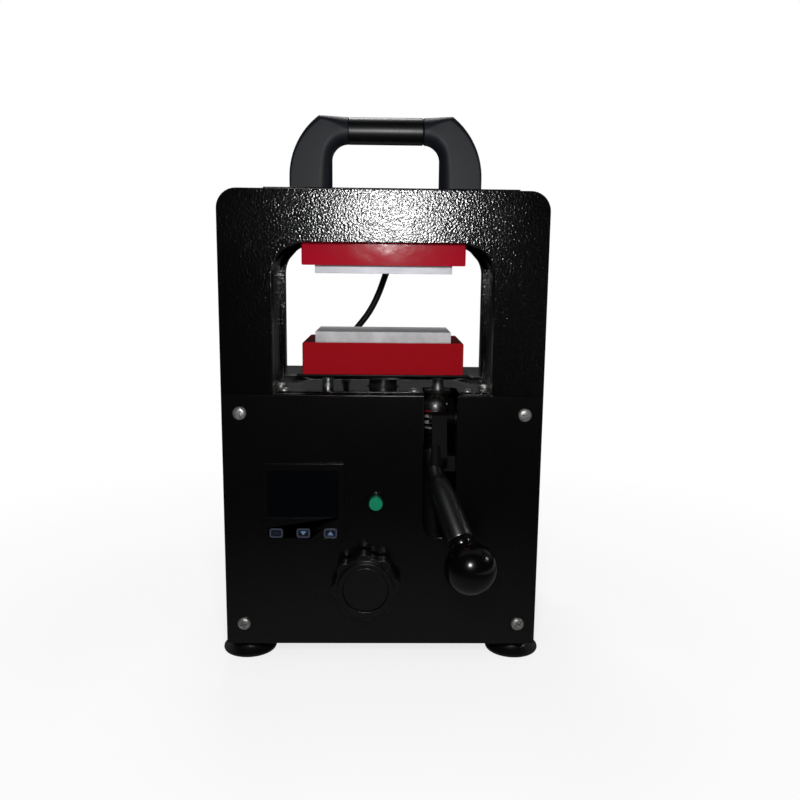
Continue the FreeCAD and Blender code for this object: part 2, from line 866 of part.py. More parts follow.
def make_mains_inlet():
    """A mains inlet with its switch frame in one moulding, and the rocker."""
    x, z = S.inlet_x, S.inlet_z
    flange = box((x - S.inlet_width / 2, x + S.inlet_width / 2), (panel_face, panel_face + S.inlet_flange),
                 (z - S.inlet_height / 2, z + S.inlet_height / 2))
    back = panel_face - S.inlet_body_depth
    body = box((x - S.inlet_body_width / 2, x + S.inlet_body_width / 2), (back, panel_face),
               (z - S.inlet_body_height / 2, z + S.inlet_body_height / 2))
    front = panel_face + S.inlet_flange
    socket_z = z - S.socket_drop
    socket = box((x - S.socket_width / 2, x + S.socket_width / 2), (front - S.socket_depth, front + 1),
                 (socket_z - S.socket_height / 2, socket_z + S.socket_height / 2))
    switch_z = z + S.switch_rise
    switch_half = S.switch_height / 2 + S.switch_play
    well = box((x - S.switch_width / 2 - S.switch_play, x + S.switch_width / 2 + S.switch_play),
               (front - S.switch_depth - S.switch_play * 2, front + 1),
               (switch_z - switch_half, switch_z + switch_half))
    floor = front - S.socket_depth
    pins = []
    for across, rise in ((-1, -0.4), (1, -0.4), (0, 0.4)):
        px = x + S.pin_spacing * across
        pz = socket_z + S.pin_spacing * rise
        pins.append(box((px - S.pin_thickness / 2, px + S.pin_thickness / 2),
                        (floor - 1, floor + S.pin_length),
                        (pz - S.pin_width / 2, pz + S.pin_width / 2)))
    pivot_y = panel_face
    pivot_radius = S.switch_pivot_diameter / 2
    well_side = S.switch_width / 2 + S.switch_play
    bearing = well_side + S.switch_pivot_reach + S.slide_fit
    bearings = bar((x - bearing, pivot_y, switch_z), bearing * 2, pivot_radius + S.slide_fit, "right")
    node("power_inlet", fuse(cut(fuse(flange, body), socket, well, bearings), *pins))
    half = S.switch_height / 2
    front_y = S.switch_proud
    points = (
        (-S.switch_depth / 2, -half),
        (front_y, -half),
        (S.switch_valley, 0),
        (front_y, half),
        (-S.switch_depth / 2, half),
    )
    rocker = prism("YZ_Plane", points, x - S.switch_width / 2, x + S.switch_width / 2)
    tilt = FreeCAD.Rotation(Vector(1, 0, 0), S.switch_throw.value / 2)
    rocker.Placement = FreeCAD.Placement(Vector(0, 0, 0), tilt)
    bind(rocker, "Placement.Base.x", x - S.switch_width / 2)
    bind(rocker, "Placement.Base.y", pivot_y)
    bind(rocker, "Placement.Base.z", switch_z)
    stub = S.switch_play + S.switch_pivot_reach
    stubs = [
        bar((x - S.switch_width / 2, pivot_y, switch_z), stub, pivot_radius, "left"),
        bar((x + S.switch_width / 2, pivot_y, switch_z), stub, pivot_radius, "right"),
    ]
    node("switch_rocker", fuse(rocker, *stubs))


def make_relay():
    """The relay that switches the heaters, on the floor of the rear box."""
    low = bottom_top
    y_low = (rear_plate_face + panel_inner) / 2 - S.relay_length / 2
    x_low = S.relay_x - S.relay_width / 2
    base = box((x_low, x_low + S.relay_width), (y_low, y_low + S.relay_length), (low, low + S.relay_height * 0.3))
    inset = S.relay_width * 0.08
    cap = box((x_low + inset, x_low + S.relay_width - inset),
              (y_low + inset * 3, y_low + S.relay_length - inset * 3),
              (low, low + S.relay_height))
    node("solid_state_relay", fuse(base, cap))


def heater_bores(face, inward, fit):
    """Bars in a platen's hidden part for its two heaters and its probe."""
    half = S.platen_length / 2
    level = face + S.platen_thickness * 0.62 * inward
    radius = S.heater_diameter / 2 + fit
    spots = (-(S.heater_spacing / 2), S.heater_spacing / 2)
    bars = [bar((half - S.heater_length, y, level), S.heater_length, radius, "right") for y in spots]
    bars.append(bar((half - S.probe_length, 0, level), S.probe_length, S.probe_diameter / 2 + fit, "right"))
    return bars


def make_heated_plate(name, low, high, face, inward):
    """One housing with its insulation board, aluminium platen and heaters.

    The platen's face looks towards the gap, and inward is +1 where the housing
    is above that face and -1 where it is below it.
    """
    block = box((-housing_half, housing_half), (housing_front, housing_rear), (low, high))
    deep = face + (S.platen_thickness + S.board_thickness) * inward
    pocket_x = S.platen_length / 2 + S.platen_fit
    pocket_y = S.platen_depth / 2 + S.platen_fit
    pocket_z = (face, deep) if inward > 0 else (deep, face)
    pocket = box((-pocket_x, pocket_x), (-pocket_y, pocket_y), pocket_z)
    gland_z = gland_level(low)
    lead_hole = bar((S.gland_x, pocket_y - 1, gland_z), housing_rear - pocket_y + 2,
                    S.lead_diameter / 2, "back")
    rounded = softened(block, S.housing_round,
                       lambda edge: abs(edge.tangentAt(edge.FirstParameter).x) < 0.5)
    node("%s_heater_housing" % name, cut(rounded, pocket, lead_hole))
    board_low = face + S.platen_thickness * inward
    board_z = (board_low, deep) if inward > 0 else (deep, board_low)
    half_x = S.platen_length / 2
    half_y = S.platen_depth / 2
    node("%s_insulation_board" % name, box((-half_x, half_x), (-half_y, half_y), board_z))
    plate_z = (face, board_low) if inward > 0 else (board_low, face)
    plate = box((-half_x, half_x), (-half_y, half_y), plate_z)
    node("%s_platen" % name, cut(plate, *heater_bores(face, inward, S.heater_fit)))
    node("%s_heater_elements" % name, group(*heater_bores(face, inward, 0)))


def gland_level(housing_low):
    return housing_low + S.gland_rise


def gland(spot, facing):
    """A cable gland, its nut's back face at the spot, bored for the lead."""
    hole = S.lead_diameter / 2
    nut = S.gland_diameter / 2
    nose = S.gland_nose_diameter / 2
    return turned((
        (hole, 0),
        (nut, 0),
        (nut, S.gland_nut_height),
        (nose, S.gland_nut_height),
        (nose, S.gland_nut_height + S.gland_nose_height * 0.6),
        (nose * 0.85, S.gland_nut_height + S.gland_nose_height),
        (hole, S.gland_nut_height + S.gland_nose_height),
    ), spot, facing)


def tube_along(points, radii, radius):
    """A round tube along straight runs joined by tangent arcs, one radius per bend."""
    corners = [Vector(*point) for point in points]
    edges = []
    start = corners[0]
    for before, corner, after, bend in zip(corners, corners[1:], corners[2:], radii):
        into = (corner - before).normalize()
        out = (after - corner).normalize()
        turn = into.getAngle(out)
        setback = bend * math.tan(turn / 2)
        first = corner - into * setback
        last = corner + out * setback
        middle_way = (out - into).normalize()
        middle = corner + middle_way * (bend / math.cos(turn / 2) - bend)
        edges.append(Part.LineSegment(start, first).toShape())
        edges.append(Part.Arc(first, middle, last).toShape())
        start = last
    edges.append(Part.LineSegment(start, corners[-1]).toShape())
    spine = Part.Wire(edges)
    way = (corners[1] - corners[0]).normalize()
    ring = Part.Wire(Part.makeCircle(radius, corners[0], way))
    pipe = spine.makePipeShell([ring], True, True)
    expected = math.pi * radius ** 2 * spine.Length
    if abs(pipe.Volume - expected) > expected * 0.01:
        raise RuntimeError("a tube's volume is not its section times its length")
    return pipe, spine.Length


def bend_radii(points):
    """The largest tangent arc that the two runs beside each point allow."""
    corners = [Vector(*point) for point in points]
    radii = []
    for before, corner, after in zip(corners, corners[1:], corners[2:]):
        shorter = min((corner - before).Length, (after - corner).Length)
        turn = (corner - before).getAngle(after - corner)
        radii.append(0.45 * shorter / math.tan(turn / 2))
    return radii


def make_leads():
    """The upper heater's lead between its two glands, and the lower gland."""
    upper = gland((S.gland_x, housing_rear, gland_level(upper_low)), "back")
    lead_end = LEAD_ROUTE[-1]
    entry = gland((lead_end[0], lead_end[1], lid_top), "up")
    node("lead_glands", group(upper, entry))
    node("lower_lead_gland", gland((S.gland_x, housing_rear, gland_level(carrier_top)), "back"))
    radii = bend_radii(LEAD_ROUTE)
    print("lead radii", [round(radius, 1) for radius in radii])
    shape, length = tube_along(LEAD_ROUTE, radii, S.lead_diameter.value / 2)
    print("lead length", round(length, 1))
    lead = doc.addObject("Part::Feature", "Lead")
    lead.Shape = shape
    node("upper_heater_lead", lead)


def make_lift():
    """The carrier with the ram's pad, the ram and the guide rods."""
    half = housing_half + S.carrier_overhang
    node("carrier_plate", box((-half, half), (housing_front, housing_rear), (carrier_low, carrier_top)))
    pad_low = carrier_low - S.ram_pad_thickness
    node("ram_pad", bar((0, 0, pad_low), S.ram_pad_thickness, S.ram_pad_diameter / 2))
    ram_low = jack_top + S.reservoir_floor + S.ram_foot_gap
    node("ram", bar((0, 0, ram_low), pad_low - ram_low, ram_r))
    low = carrier_low - S.rod_reach
    collar = S.collar_diameter / 2
    top = low + S.collar_height
    rod = turned((
        (0, 0),
        (collar, 0),
        (collar, S.collar_height),
        (rod_r, S.collar_height),
        (rod_r, S.rod_reach),
        (0, S.rod_reach),
    ))
    node("guide_rods", copies(rod, [(-rod_x, 0, low), (rod_x, 0, low)]))
    bush_low = deck_low - S.bush_length
    flange = S.bush_flange / 2
    body = S.bush_diameter / 2
    bore = rod_r + S.slide_fit
    shoulder = S.bush_length - S.bush_flange_thickness
    bush = turned((
        (bore, 0),
        (body, 0),
        (body, shoulder),
        (flange, shoulder),
        (flange, S.bush_length),
        (bore, S.bush_length),
    ))
    node("guide_bushes", copies(bush, [(-rod_x, 0, bush_low), (rod_x, 0, bush_low)]))
    outer = S.return_spring_diameter / 2
    inner = outer - S.return_wire
    length = bush_low - top
    spring = turned(((inner, 0), (outer, 0), (outer, length), (inner, length)))
    node("return_springs", copies(spring, [(-rod_x, 0, top), (rod_x, 0, top)]))


def make_jack():
    """The cast base, the oil reservoir with the ram's barrel, and its cap."""
    low = opening_low
    high = low + S.jack_base_height
    front = gap_front
    points = (
        (-S.jack_base_left, front),
        (S.jack_base_right, front),
        (S.jack_base_right, gap_back - S.jack_base_gap),
        (-S.jack_base_left, gap_back - S.jack_base_gap),
    )
    block = prism("XY_Plane", points, low, high, [(S.jack_base_corner, points)])
    boss = bar((S.valve_x, front, S.valve_z), S.valve_boss_length, S.valve_boss_diameter / 2, "front")
    seat = bar((S.valve_x, front - S.valve_boss_length, S.valve_z), S.valve_seat_depth,
               S.valve_stem_diameter / 2 + S.slide_fit, "back")
    node("jack_base", cut(fuse(block, boss), seat))
    outer = S.reservoir_diameter / 2
    inner = outer - S.reservoir_wall
    bore = ram_r + S.slide_fit
    barrel = bore + S.barrel_wall
    floor = S.reservoir_floor
    height = deck_low - S.cap_gap - S.cap_height - high
    node("jack_reservoir", turned((
        (0, 0),
        (outer, 0),
        (outer, height),
        (inner, height),
        (inner, floor),
        (barrel, floor),
        (barrel, height),
        (bore, height),
        (bore, floor),
        (0, floor),
    ), (0, 0, high)))
    cap = S.cap_diameter / 2
    node("cylinder_cap", turned((
        (bore, 0),
        (cap, 0),
        (cap, S.cap_height * 0.8),
        (cap - S.cap_height * 0.2, S.cap_height),
        (bore, S.cap_height),
    ), (0, 0, high + height)))


jack_top = opening_low + S.jack_base_height
pump_top = deck_top - S.pump_top
cross_pin_z = deck_top - S.cross_pin_drop
crank = S.pump_y - S.fulcrum_y
half_swing = S.lever_swing / 2
fulcrum_z = cross_pin_z - crank * slope_of(half_swing)
plunger_stroke = crank * slope_of(half_swing) * 2
head_r = S.plunger_head_diameter / 2
head_top = deck_top - S.plunger_head_top
dome_z = head_top - head_r
washer_top = dome_z - 1.7
washer_low = washer_top - S.washer_thickness
arm_left = S.pump_x + head_r + S.rocker_side_gap
arm_right = arm_left + S.rocker_arm_thickness
hub_left = arm_right - 20
ear_left = arm_right + S.ear_gap


def make_pump():
    """The pump barrel with its bracket, the plunger, its red washer and its spring."""
    x, y = S.pump_x, S.pump_y
    plunger = S.plunger_diameter / 2
    bore = plunger + S.slide_fit
    foot = S.pump_foot_diameter / 2
    barrel = S.pump_diameter / 2
    height = pump_top - jack_top
    core = turned((
        (0, 0),
        (foot, 0),
        (foot, S.pump_foot_height),
        (barrel, S.pump_foot_height + 4),
        (barrel, height),
        (0, height),
    ), (x, y, jack_top))
    plate_left = ear_left + 2
    plate_right = plate_left + S.ear_thickness
    bracket_top = pump_top - S.bracket_drop
    bracket_low = bracket_top - S.bracket_height
    ear_front = front_plate_face + 1
    arm = box((x, plate_right), (y - barrel * 0.8, y + barrel * 0.2), (bracket_low, bracket_top))
    ear = box((plate_left, plate_right), (ear_front, ear_front + S.ear_depth),
              (bracket_low, fulcrum_z + S.ear_rise))
    boss = bar((ear_left, S.fulcrum_y, fulcrum_z), plate_right - ear_left, S.ear_boss_radius, "right")
    bolt_hole = bar((ear_left - 1, S.fulcrum_y, fulcrum_z), plate_right - ear_left + 2,
                    S.fulcrum_bolt_diameter / 2 + S.slide_fit / 2, "right")
    deep = bar((x, y, jack_top + S.pump_bore_floor), height, bore)
    node("pump_body", cut(fuse(core, arm, ear, boss), bolt_hole, deep))
    rod_low = jack_top + S.pump_bore_floor + S.pump_floor_gap + plunger_stroke
    rod = bar((x, y, rod_low), washer_top - rod_low, plunger)
    skirt = bar((x, y, washer_top), dome_z - washer_top, head_r)
    dome = cut(ball((x, y, dome_z), head_r), bar((x, y, dome_z - head_r - 1), head_r + 1, head_r + 1))
    pin = bar((x, y, cross_pin_z), arm_right + 0.6 - x, S.cross_pin_diameter / 2, "right")
    node("pump_plunger", fuse(rod, skirt, dome, pin))
    node("plunger_washer", turned((
        (bore, 0),
        (head_r, 0),
        (head_r, S.washer_thickness),
        (bore, S.washer_thickness),
    ), (x, y, washer_low)))
    outer = S.pump_spring_diameter / 2
    inner = outer - S.pump_spring_wire
    length = washer_low - pump_top
    node("pump_spring", turned(((inner, 0), (outer, 0), (outer, length), (inner, length)), (x, y, pump_top)))


def limb(first, second, x):
    """A flat limb in the YZ plane between two round ends, given as (y, z, radius)."""
    ya, za, ra = (as_size(item).value for item in first)
    yb, zb, rb = (as_size(item).value for item in second)
    reach = math.hypot(yb - ya, zb - za)
    ny, nz = -(zb - za) / reach, (yb - ya) / reach
    points = (
        (ya + ny * ra, za + nz * ra),
        (ya - ny * ra, za - nz * ra),
        (yb - ny * rb, zb - nz * rb),
        (yb + ny * rb, zb + nz * rb),
    )
    ends = [bar((x[0], y, z), x[1] - x[0], radius, "right") for y, z, radius in (first, second)]
    return fuse(prism("YZ_Plane", points, x[0], x[1]), *ends)


def lever_frame():
    """The lever's bend point, the way up its neck, and the way out along its grip."""
    bend = Vector(S.neck_x.value, S.neck_y.value, S.neck_z.value)
    tilt = math.radians(S.neck_slope.value)
    up = Vector(0, math.cos(tilt), math.sin(tilt))
    knob = Vector(S.knob_x.value, S.knob_y.value, S.knob_z.value)
    return bend, up, knob


def make_rocker():
    """The cast rocker: hub, slotted arm to the plunger's cross pin, web and socket."""
    bend, up, knob = lever_frame()
    tilt = math.radians(half_swing.value)
    way = (math.cos(tilt), math.sin(tilt))
    far = crank.value / math.cos(tilt)
    fy, fz = S.fulcrum_y.value, fulcrum_z.value
    hub = bar((hub_left, S.fulcrum_y, fulcrum_z), arm_right - hub_left, S.hub_radius, "right")
    tip = (fy + way[0] * far, fz + way[1] * far, S.rocker_arm_end)
    arm = limb((S.fulcrum_y, fulcrum_z, S.hub_radius), tip, (arm_left, arm_right))
    play = S.cross_pin_diameter / 2 + S.cross_pin_play
    near = crank.value - S.cross_pin_play.value
    beyond = far + S.cross_pin_play.value
    slot = limb((fy + way[0] * near, fz + way[1] * near, play),
                (fy + way[0] * beyond, fz + way[1] * beyond, play),
                (arm_left - 1, arm_right + 1))
    middle = bend + up * ((S.socket_low.value + S.socket_high.value) / 2)
    web = limb((S.fulcrum_y, fulcrum_z, S.hub_radius), (middle.y, middle.z, S.socket_radius * 0.8),
               (hub_left, hub_left + S.web_thickness))
    socket = bar((0, 0, 0), S.socket_high - S.socket_low, S.socket_radius)
    aim(socket, bend + up * S.socket_low.value, up)
    bore = bar((0, 0, 0), S.socket_high - S.socket_low, S.rod_radius + S.rod_fit)
    aim(bore, bend + up * (S.socket_low.value - 2), up)
    bolt = bar((hub_left - 1, S.fulcrum_y, fulcrum_z), arm_right - hub_left + 2,
               S.fulcrum_bolt_diameter / 2 + S.slide_fit, "right")
    node("rocker_arm", cut(fuse(hub, arm, web, socket), slot, bore, bolt))
    plate_right = ear_left + 2 + S.ear_thickness
    head = bar((hub_left - S.ear_gap, S.fulcrum_y, fulcrum_z), S.fulcrum_bolt_head_height,
               S.fulcrum_bolt_head / 2, "left")
    shank = bar((hub_left - S.ear_gap, S.fulcrum_y, fulcrum_z), plate_right - hub_left + S.ear_gap,
                S.fulcrum_bolt_diameter / 2, "right")
    node("fulcrum_bolt", fuse(head, shank))


def make_lever():
    """The bent rod in the rocker's socket, its tapered grip and its ball knob."""
    bend, up, knob = lever_frame()
    way = (knob - bend).normalize()
    reach = (knob - bend).Length
    ball_r = S.knob_ball_diameter.value / 2
    top = bend + up * (S.socket_high.value - 2.5)
    tip = knob - way * S.knob_bore_rest.value
    shape, length = tube_along((top, bend, tip), [S.rod_bend.value], S.rod_radius.value)
    rod = doc.addObject("Part::Feature", "Rod")
    rod.Shape = shape
    node("lever_rod", rod)
    bore = S.rod_radius + S.rod_fit
    small = S.grip_radius_small
    large = S.grip_radius_large
    step = S.grip_shoulder
    grip = turned((
        (bore, 0),
        (small - step, 0),
        (small - step * 0.62, step * 0.9),
        (small - step * 0.24, step * 2.3),
        (small, step * 4.5),
        (large, S.grip_length - 0.5),
        (large - 0.5, S.grip_length),
        (bore, S.grip_length),
    ))
    node("lever_grip", aim(grip, bend + way * S.grip_start.value, way))
    collar_start = S.grip_start.value + S.grip_length.value + 0.1
    collar = bar((0, 0, 0), reach - collar_start, S.knob_collar_radius)
    aim(collar, bend + way * collar_start, way)
    sphere = ball((S.knob_x, S.knob_y, S.knob_z), ball_r)
    hole = bar((0, 0, 0), reach - collar_start - S.knob_bore_rest.value + 0.6, bore)
    aim(hole, bend + way * (collar_start - 0.5), way)
    node("ball_knob", cut(fuse(collar, sphere), hole))


def make_release_valve():
    """The valve's stem, its lobed knob and the cap in the knob's face."""
    x, z = S.valve_x, S.valve_z
    knob_back = cover_face - S.valve_knob_gap
    disc_front = knob_back - S.lobe_disc_thickness
    ring_front = disc_front - S.hub_ring_height
    cap_front = ring_front + S.knob_cap_recess
    cap_back = cap_front + S.knob_cap_thickness
    stem_start = gap_front - S.valve_boss_length + S.valve_seat_depth - 0.5
    stem = bar((x, stem_start, z), stem_start - cap_back, S.valve_stem_diameter / 2, "front")
    node("valve_stem", stem)
    disc = bar((x, knob_back, z), S.lobe_disc_thickness, S.lobe_disc_diameter / 2, "front")
    lobes = []
    count = int(S.lobe_count.value)
    for index in range(count):
        angle = math.radians(360.0 * index / count + S.lobe_turn.value)
        spot = (x + S.lobe_reach * math.cos(angle), knob_back, z + S.lobe_reach * math.sin(angle))
        lobes.append(bar(spot, S.lobe_disc_thickness, S.lobe_diameter / 2, "front"))
    ring = bar((x, knob_back, z), knob_back - ring_front, S.hub_ring_diameter / 2, "front")
    recess = bar((x, cap_back, z), cap_back - ring_front + 1, S.knob_cap_diameter / 2 + S.slide_fit, "front")
    bore = bar((x, knob_back + 1, z), knob_back + 1 - cap_back + 1, S.valve_stem_diameter / 2 + S.slide_fit,
               "front")
    node("release_knob", cut(fuse(disc, ring, *lobes), recess, bore))
    node("knob_cap", bar((x, cap_back, z), S.knob_cap_thickness, S.knob_cap_diameter / 2, "front"))


def make_controller():
    """The panel-mount temperature controller with its window and three touch keys."""
    x, z = S.controller_x, S.controller_z
    half = S.controller_side / 2
    front = cover_face - S.bezel_proud
    floor = front + S.inset_depth
    bezel = box((x - half, x + half), (front, cover_face), (z - half, z + half))
    case_half = S.controller_case / 2
    case = box((x - case_half, x + case_half), (cover_face, cover_face + S.controller_depth),
               (z - case_half, z + case_half))
    window_x = (x - S.display_width / 2, x + S.display_width / 2)
    window_z = (z + S.display_rise - S.display_height / 2, z + S.display_rise + S.display_height / 2)
    pocket = box(window_x, (front - 1, floor), window_z)
    key_z = z - S.key_drop
    pockets = []
    keys = []
    for index in (-1, 0, 1):
        key_x = (x + S.key_pitch * index - S.key_width / 2, x + S.key_pitch * index + S.key_width / 2)
        key_span = (key_z - S.key_height / 2, key_z + S.key_height / 2)
        pockets.append(box(key_x, (front - 1, floor), key_span))
        keys.append(box(key_x, (front - S.key_proud, floor), key_span))
    node("controller_case", cut(fuse(bezel, case), pocket, *pockets))
    node("controller_display", box(window_x, (front - S.display_proud, floor), window_z))
    node("controller_keys", group(*keys))


def make_start_button():
    """The green push button and the threaded barrel that holds it."""
    x, z = S.button_x, S.button_z
    bore = S.button_diameter / 2 + S.button_fit
    barrel = S.button_barrel_diameter / 2
    bezel_front = cover_face - S.button_bezel_height
    bezel = bar((x, cover_face, z), S.button_bezel_height, S.button_bezel_diameter / 2, "front")
    body = bar((x, cover_face, z), S.button_barrel_length, barrel, "back")
    cap_back = cover_face + S.button_back
    well_back = cap_back + S.button_travel + S.button_fit
    well = bar((x, well_back, z), well_back - bezel_front + 1, bore, "front")
    node("button_bezel", cut(fuse(bezel, body), well))
    node("button_cap", bar((x, cap_back, z), S.button_proud + S.button_back, S.button_diameter / 2, "front"))


def leg_side(edge, points):
    """Which side of a handle leg's outline an edge of its front or back face runs along."""
    if any(abs(abs(corner.Y) - S.handle_depth.value / 2) > 0.001 for corner in edge.Vertexes):
        return None
    low = points[0][1].value
    seam = points[4][0].value
    middle = edge.CenterOfMass
    if abs(middle.z - low) < 0.001 or abs(middle.x - seam) < 0.001:
        return None
    side = 1 if seam > S.handle_shift.value else -1
    cheek = (points[3][0].value - 0.001 * side) * side
    return "outer" if middle.x * side > cheek else "inner"


def make_handle():
    """The plate on the frame's top, two leg mouldings and the round grip between."""
    plate_top = frame_top + S.top_plate_thickness
    half_depth = S.top_plate_depth / 2
    node("top_plate", box((-S.top_plate_left, S.top_plate_right), (-half_depth, half_depth),
                          (frame_top, plate_top)))
    top = plate_top + S.handle_height
    under = top - S.handle_bar
    half = S.handle_depth / 2
    for name, side in (("left", -1), ("right", 1)):
        outer = S.handle_shift + S.handle_width / 2 * side
        inner = S.handle_shift + S.handle_opening / 2 * side
        seam = S.handle_shift + S.grip_half * side
        points = (
            (inner, plate_top),
            (outer, plate_top),
            (outer, top - S.handle_shoulder),
            (outer - S.handle_cheek * side, top),
            (seam, top),
            (seam, under),
            (inner, under),
        )
        rounds = [(S.handle_shoulder_round, points[2:3]), (S.handle_inner_corner, points[6:])]
        leg = prism("XZ_Plane", points, -half, half, rounds)
        soft = softened(leg, S.handle_inner_edge, lambda edge: leg_side(edge, points) == "inner")
        soft = softened(soft, S.handle_outer_edge, lambda edge: leg_side(edge, points) == "outer")
        node("handle_leg_%s" % name, soft)
    radius = S.handle_bar / 2
    node("handle_grip", bar((S.handle_shift - S.grip_half, 0, top - radius), S.grip_half * 2, radius, "right"))


def check_document():
    """Stops if any object failed to build."""
    for thing in doc.Objects:
        if "Invalid" in thing.State or "Error" in thing.State:
            raise RuntimeError("%s (%s) failed" % (thing.Name, thing.Label))
    for name, thing in NODES.items():
        shape = thing.Shape
        if shape.isNull() or not shape.isValid() or not shape.Solids:
            raise RuntimeError("%s has no valid solid" % name)


def write_parts():
    os.makedirs("parts", exist_ok=True)
    for name, thing in NODES.items():
        thing.Shape.exportStep("parts/%s.step" % name)


make_portal_plates()
make_frame_skins()
make_crown_and_bolster()
make_bottom_plate()
make_feet()
make_deck()
make_small_screws()
make_front_cover()
make_cover_screws()
make_rear_box()
make_mains_inlet()
make_relay()
make_heated_plate("upper", upper_low, upper_top, upper_face, 1)
make_heated_plate("lower", carrier_top, lower_top, lower_face, -1)
make_leads()
make_lift()
make_jack()
make_pump()
make_rocker()
make_lever()
make_release_valve()
make_controller()
make_start_button()
make_handle()
doc.recompute()
check_document()
write_parts()
print("nodes", len(NODES))
print("lift travel", round((upper_face - lower_face - S.platen_stop).value, 3))
print("fulcrum z", round(fulcrum_z.value, 3), "plunger stroke", round(plunger_stroke.value, 3))
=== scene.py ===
import json
import math

import bpy
from bpy.props import FloatProperty, FloatVectorProperty, IntProperty, PointerProperty
from mathutils import Matrix, Vector


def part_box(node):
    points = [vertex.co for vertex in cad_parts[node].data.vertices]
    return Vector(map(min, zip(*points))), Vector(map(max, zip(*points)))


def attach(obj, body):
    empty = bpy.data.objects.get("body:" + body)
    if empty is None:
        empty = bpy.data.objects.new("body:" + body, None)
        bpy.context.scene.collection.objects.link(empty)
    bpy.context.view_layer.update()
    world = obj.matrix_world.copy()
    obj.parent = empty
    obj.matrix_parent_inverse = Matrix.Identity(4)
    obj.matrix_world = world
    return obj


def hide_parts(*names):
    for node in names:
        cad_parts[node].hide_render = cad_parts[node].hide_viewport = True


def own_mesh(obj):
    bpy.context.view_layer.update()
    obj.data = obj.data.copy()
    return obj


bl_info = {
    "name": "Hydraulic Heat Press",
    "version": (1, 0, 0),
    "blender": (4, 5, 0),
    "location": "3D View > Sidebar > Heat Press",
    "description": "Models and finishes a hand-pumped hydraulic heat press and its studio",
    "category": "Add Mesh",
}

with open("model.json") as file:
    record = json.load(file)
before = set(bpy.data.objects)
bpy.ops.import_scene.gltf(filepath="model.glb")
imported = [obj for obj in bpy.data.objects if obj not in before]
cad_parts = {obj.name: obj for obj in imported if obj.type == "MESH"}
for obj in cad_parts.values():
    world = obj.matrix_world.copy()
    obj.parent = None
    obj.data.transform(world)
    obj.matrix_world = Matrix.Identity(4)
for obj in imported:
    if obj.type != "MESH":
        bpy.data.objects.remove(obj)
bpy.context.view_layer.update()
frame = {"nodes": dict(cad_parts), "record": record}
NODES = frame["nodes"]

SLOT_OF = {entry["node"]: entry["material_slot"] for entry in frame["record"]["subparts"]}
BODY_OF = {node: body
           for body, nodes in frame["record"]["behaviour"]["bodies"].items()
           for node in nodes}


def mm(*values):
    """Millimetres, as they stand in the drawings, in Blender's metres."""
    scaled = [value / 1000 for value in values]
    return Vector(scaled) if len(scaled) > 1 else scaled[0]


# Points that the upper heater's lead passes, from gland to gland, in millimetres
LEAD_ROUTE = (
    (6.0, 51.7, 364.5),
    (6.0, 64.7, 364.5),
    (5.6, 77.0, 360.2),
    (3.8, 87.0, 352.0),
    (0.0, 93.6, 341.0),
    (-4.3, 96.2, 328.6),
    (-9.8, 96.2, 316.4),
    (-16.1, 95.3, 305.5),
    (-22.9, 94.6, 296.8),
    (-30.4, 94.3, 287.5),
    (-36.2, 94.4, 277.0),
    (-38.7, 94.5, 266.6),
    (-39.0, 94.5, 258.7),
)

# The lever: where its rod bends, the way up its neck and the middle of its ball
LEVER_BEND = mm(46.4, -60.0, 176.1)
NECK_UP = Vector((0, math.cos(math.radians(67.4)), math.sin(math.radians(67.4))))
BALL_CENTRE = mm(73.6, -112.0, 109.8)
GRIP_WAY = (BALL_CENTRE - LEVER_BEND).normalized()

# Where the deck's small screws stand, and how far round one screw after another came to rest
DECK_SCREWS = ((-94.3, -4.5), (94.3, -4.5), (-88.1, -30.5), (27.9, -30.5), (76.2, -30.5))
SCREW_TURNS = (12, 57, 33, 80, 21)

# Colour of the dust on every finish, and how much handling changes the roughness
DUST = (0.45, 0.44, 0.42)
ROUGHNESS_DRIFT = 0.25


# Settings
def length(name, description, default):
    return FloatProperty(name=name, description=description, default=default, min=0.0,
                         subtype="DISTANCE", unit="LENGTH")


def colour(name, description, default):
    return FloatVectorProperty(name=name, description=description, default=default, min=0.0,
                               max=1.0, size=3, subtype="COLOR")


def power(name, description, default):
    return FloatProperty(name=name, description=description, default=default, unit="POWER")


class HeatPressShapes(bpy.types.PropertyGroup):
    """Sizes of the details that finish the bare solids."""

    plate_edge: length("Plate edge", "Rounding of the thick frame plates' edges", 0.0008)
    sheet_edge: length("Sheet edge", "Rounding of the sheet metal's edges", 0.0008)
    block_edge: length("Block edge", "Rounding of the heated plates' edges", 0.0006)
    ball_radius: length("Ball radius", "Radius of the lever's ball knob", 0.022)
    rod_radius: length("Rod radius", "Radius of the lever's rod", 0.0065)
    lead_radius: length("Lead radius", "Radius of the upper heater's lead", 0.00325)
    lead_length: length("Lead length", "Length of the lead between its glands", 0.1448)
    spring_steps: IntProperty(name="Spring steps", description="Sides in one turn of a coil",
                              default=28, min=8)


class HeatPressColours(bpy.types.PropertyGroup):
    """Colours of the paints, metals and plastics."""

    frame_black: colour("Frame", "Gloss black of the frame", (0.0012, 0.0012, 0.0014))
    panel_black: colour("Panels", "Satin black of the cover and the rear box", (0.0013, 0.0013, 0.0014))
    upper_red: colour("Upper red", "Paint of the upper housing", (0.38, 0.005, 0.018))
    lower_red: colour("Lower red", "Paint of the lower housing", (0.30, 0.004, 0.009))
    aluminium: colour("Aluminium", "The heated plates", (0.40, 0.41, 0.45))
    button_green: colour("Button", "The start button's cap", (0.005, 0.21, 0.105))
    key_line: colour("Key outlines", "Print round the controller's keys", (0.040, 0.048, 0.075))
    key_arrow: colour("Key arrows", "Arrows on the controller's keys", (0.12, 0.20, 0.34))


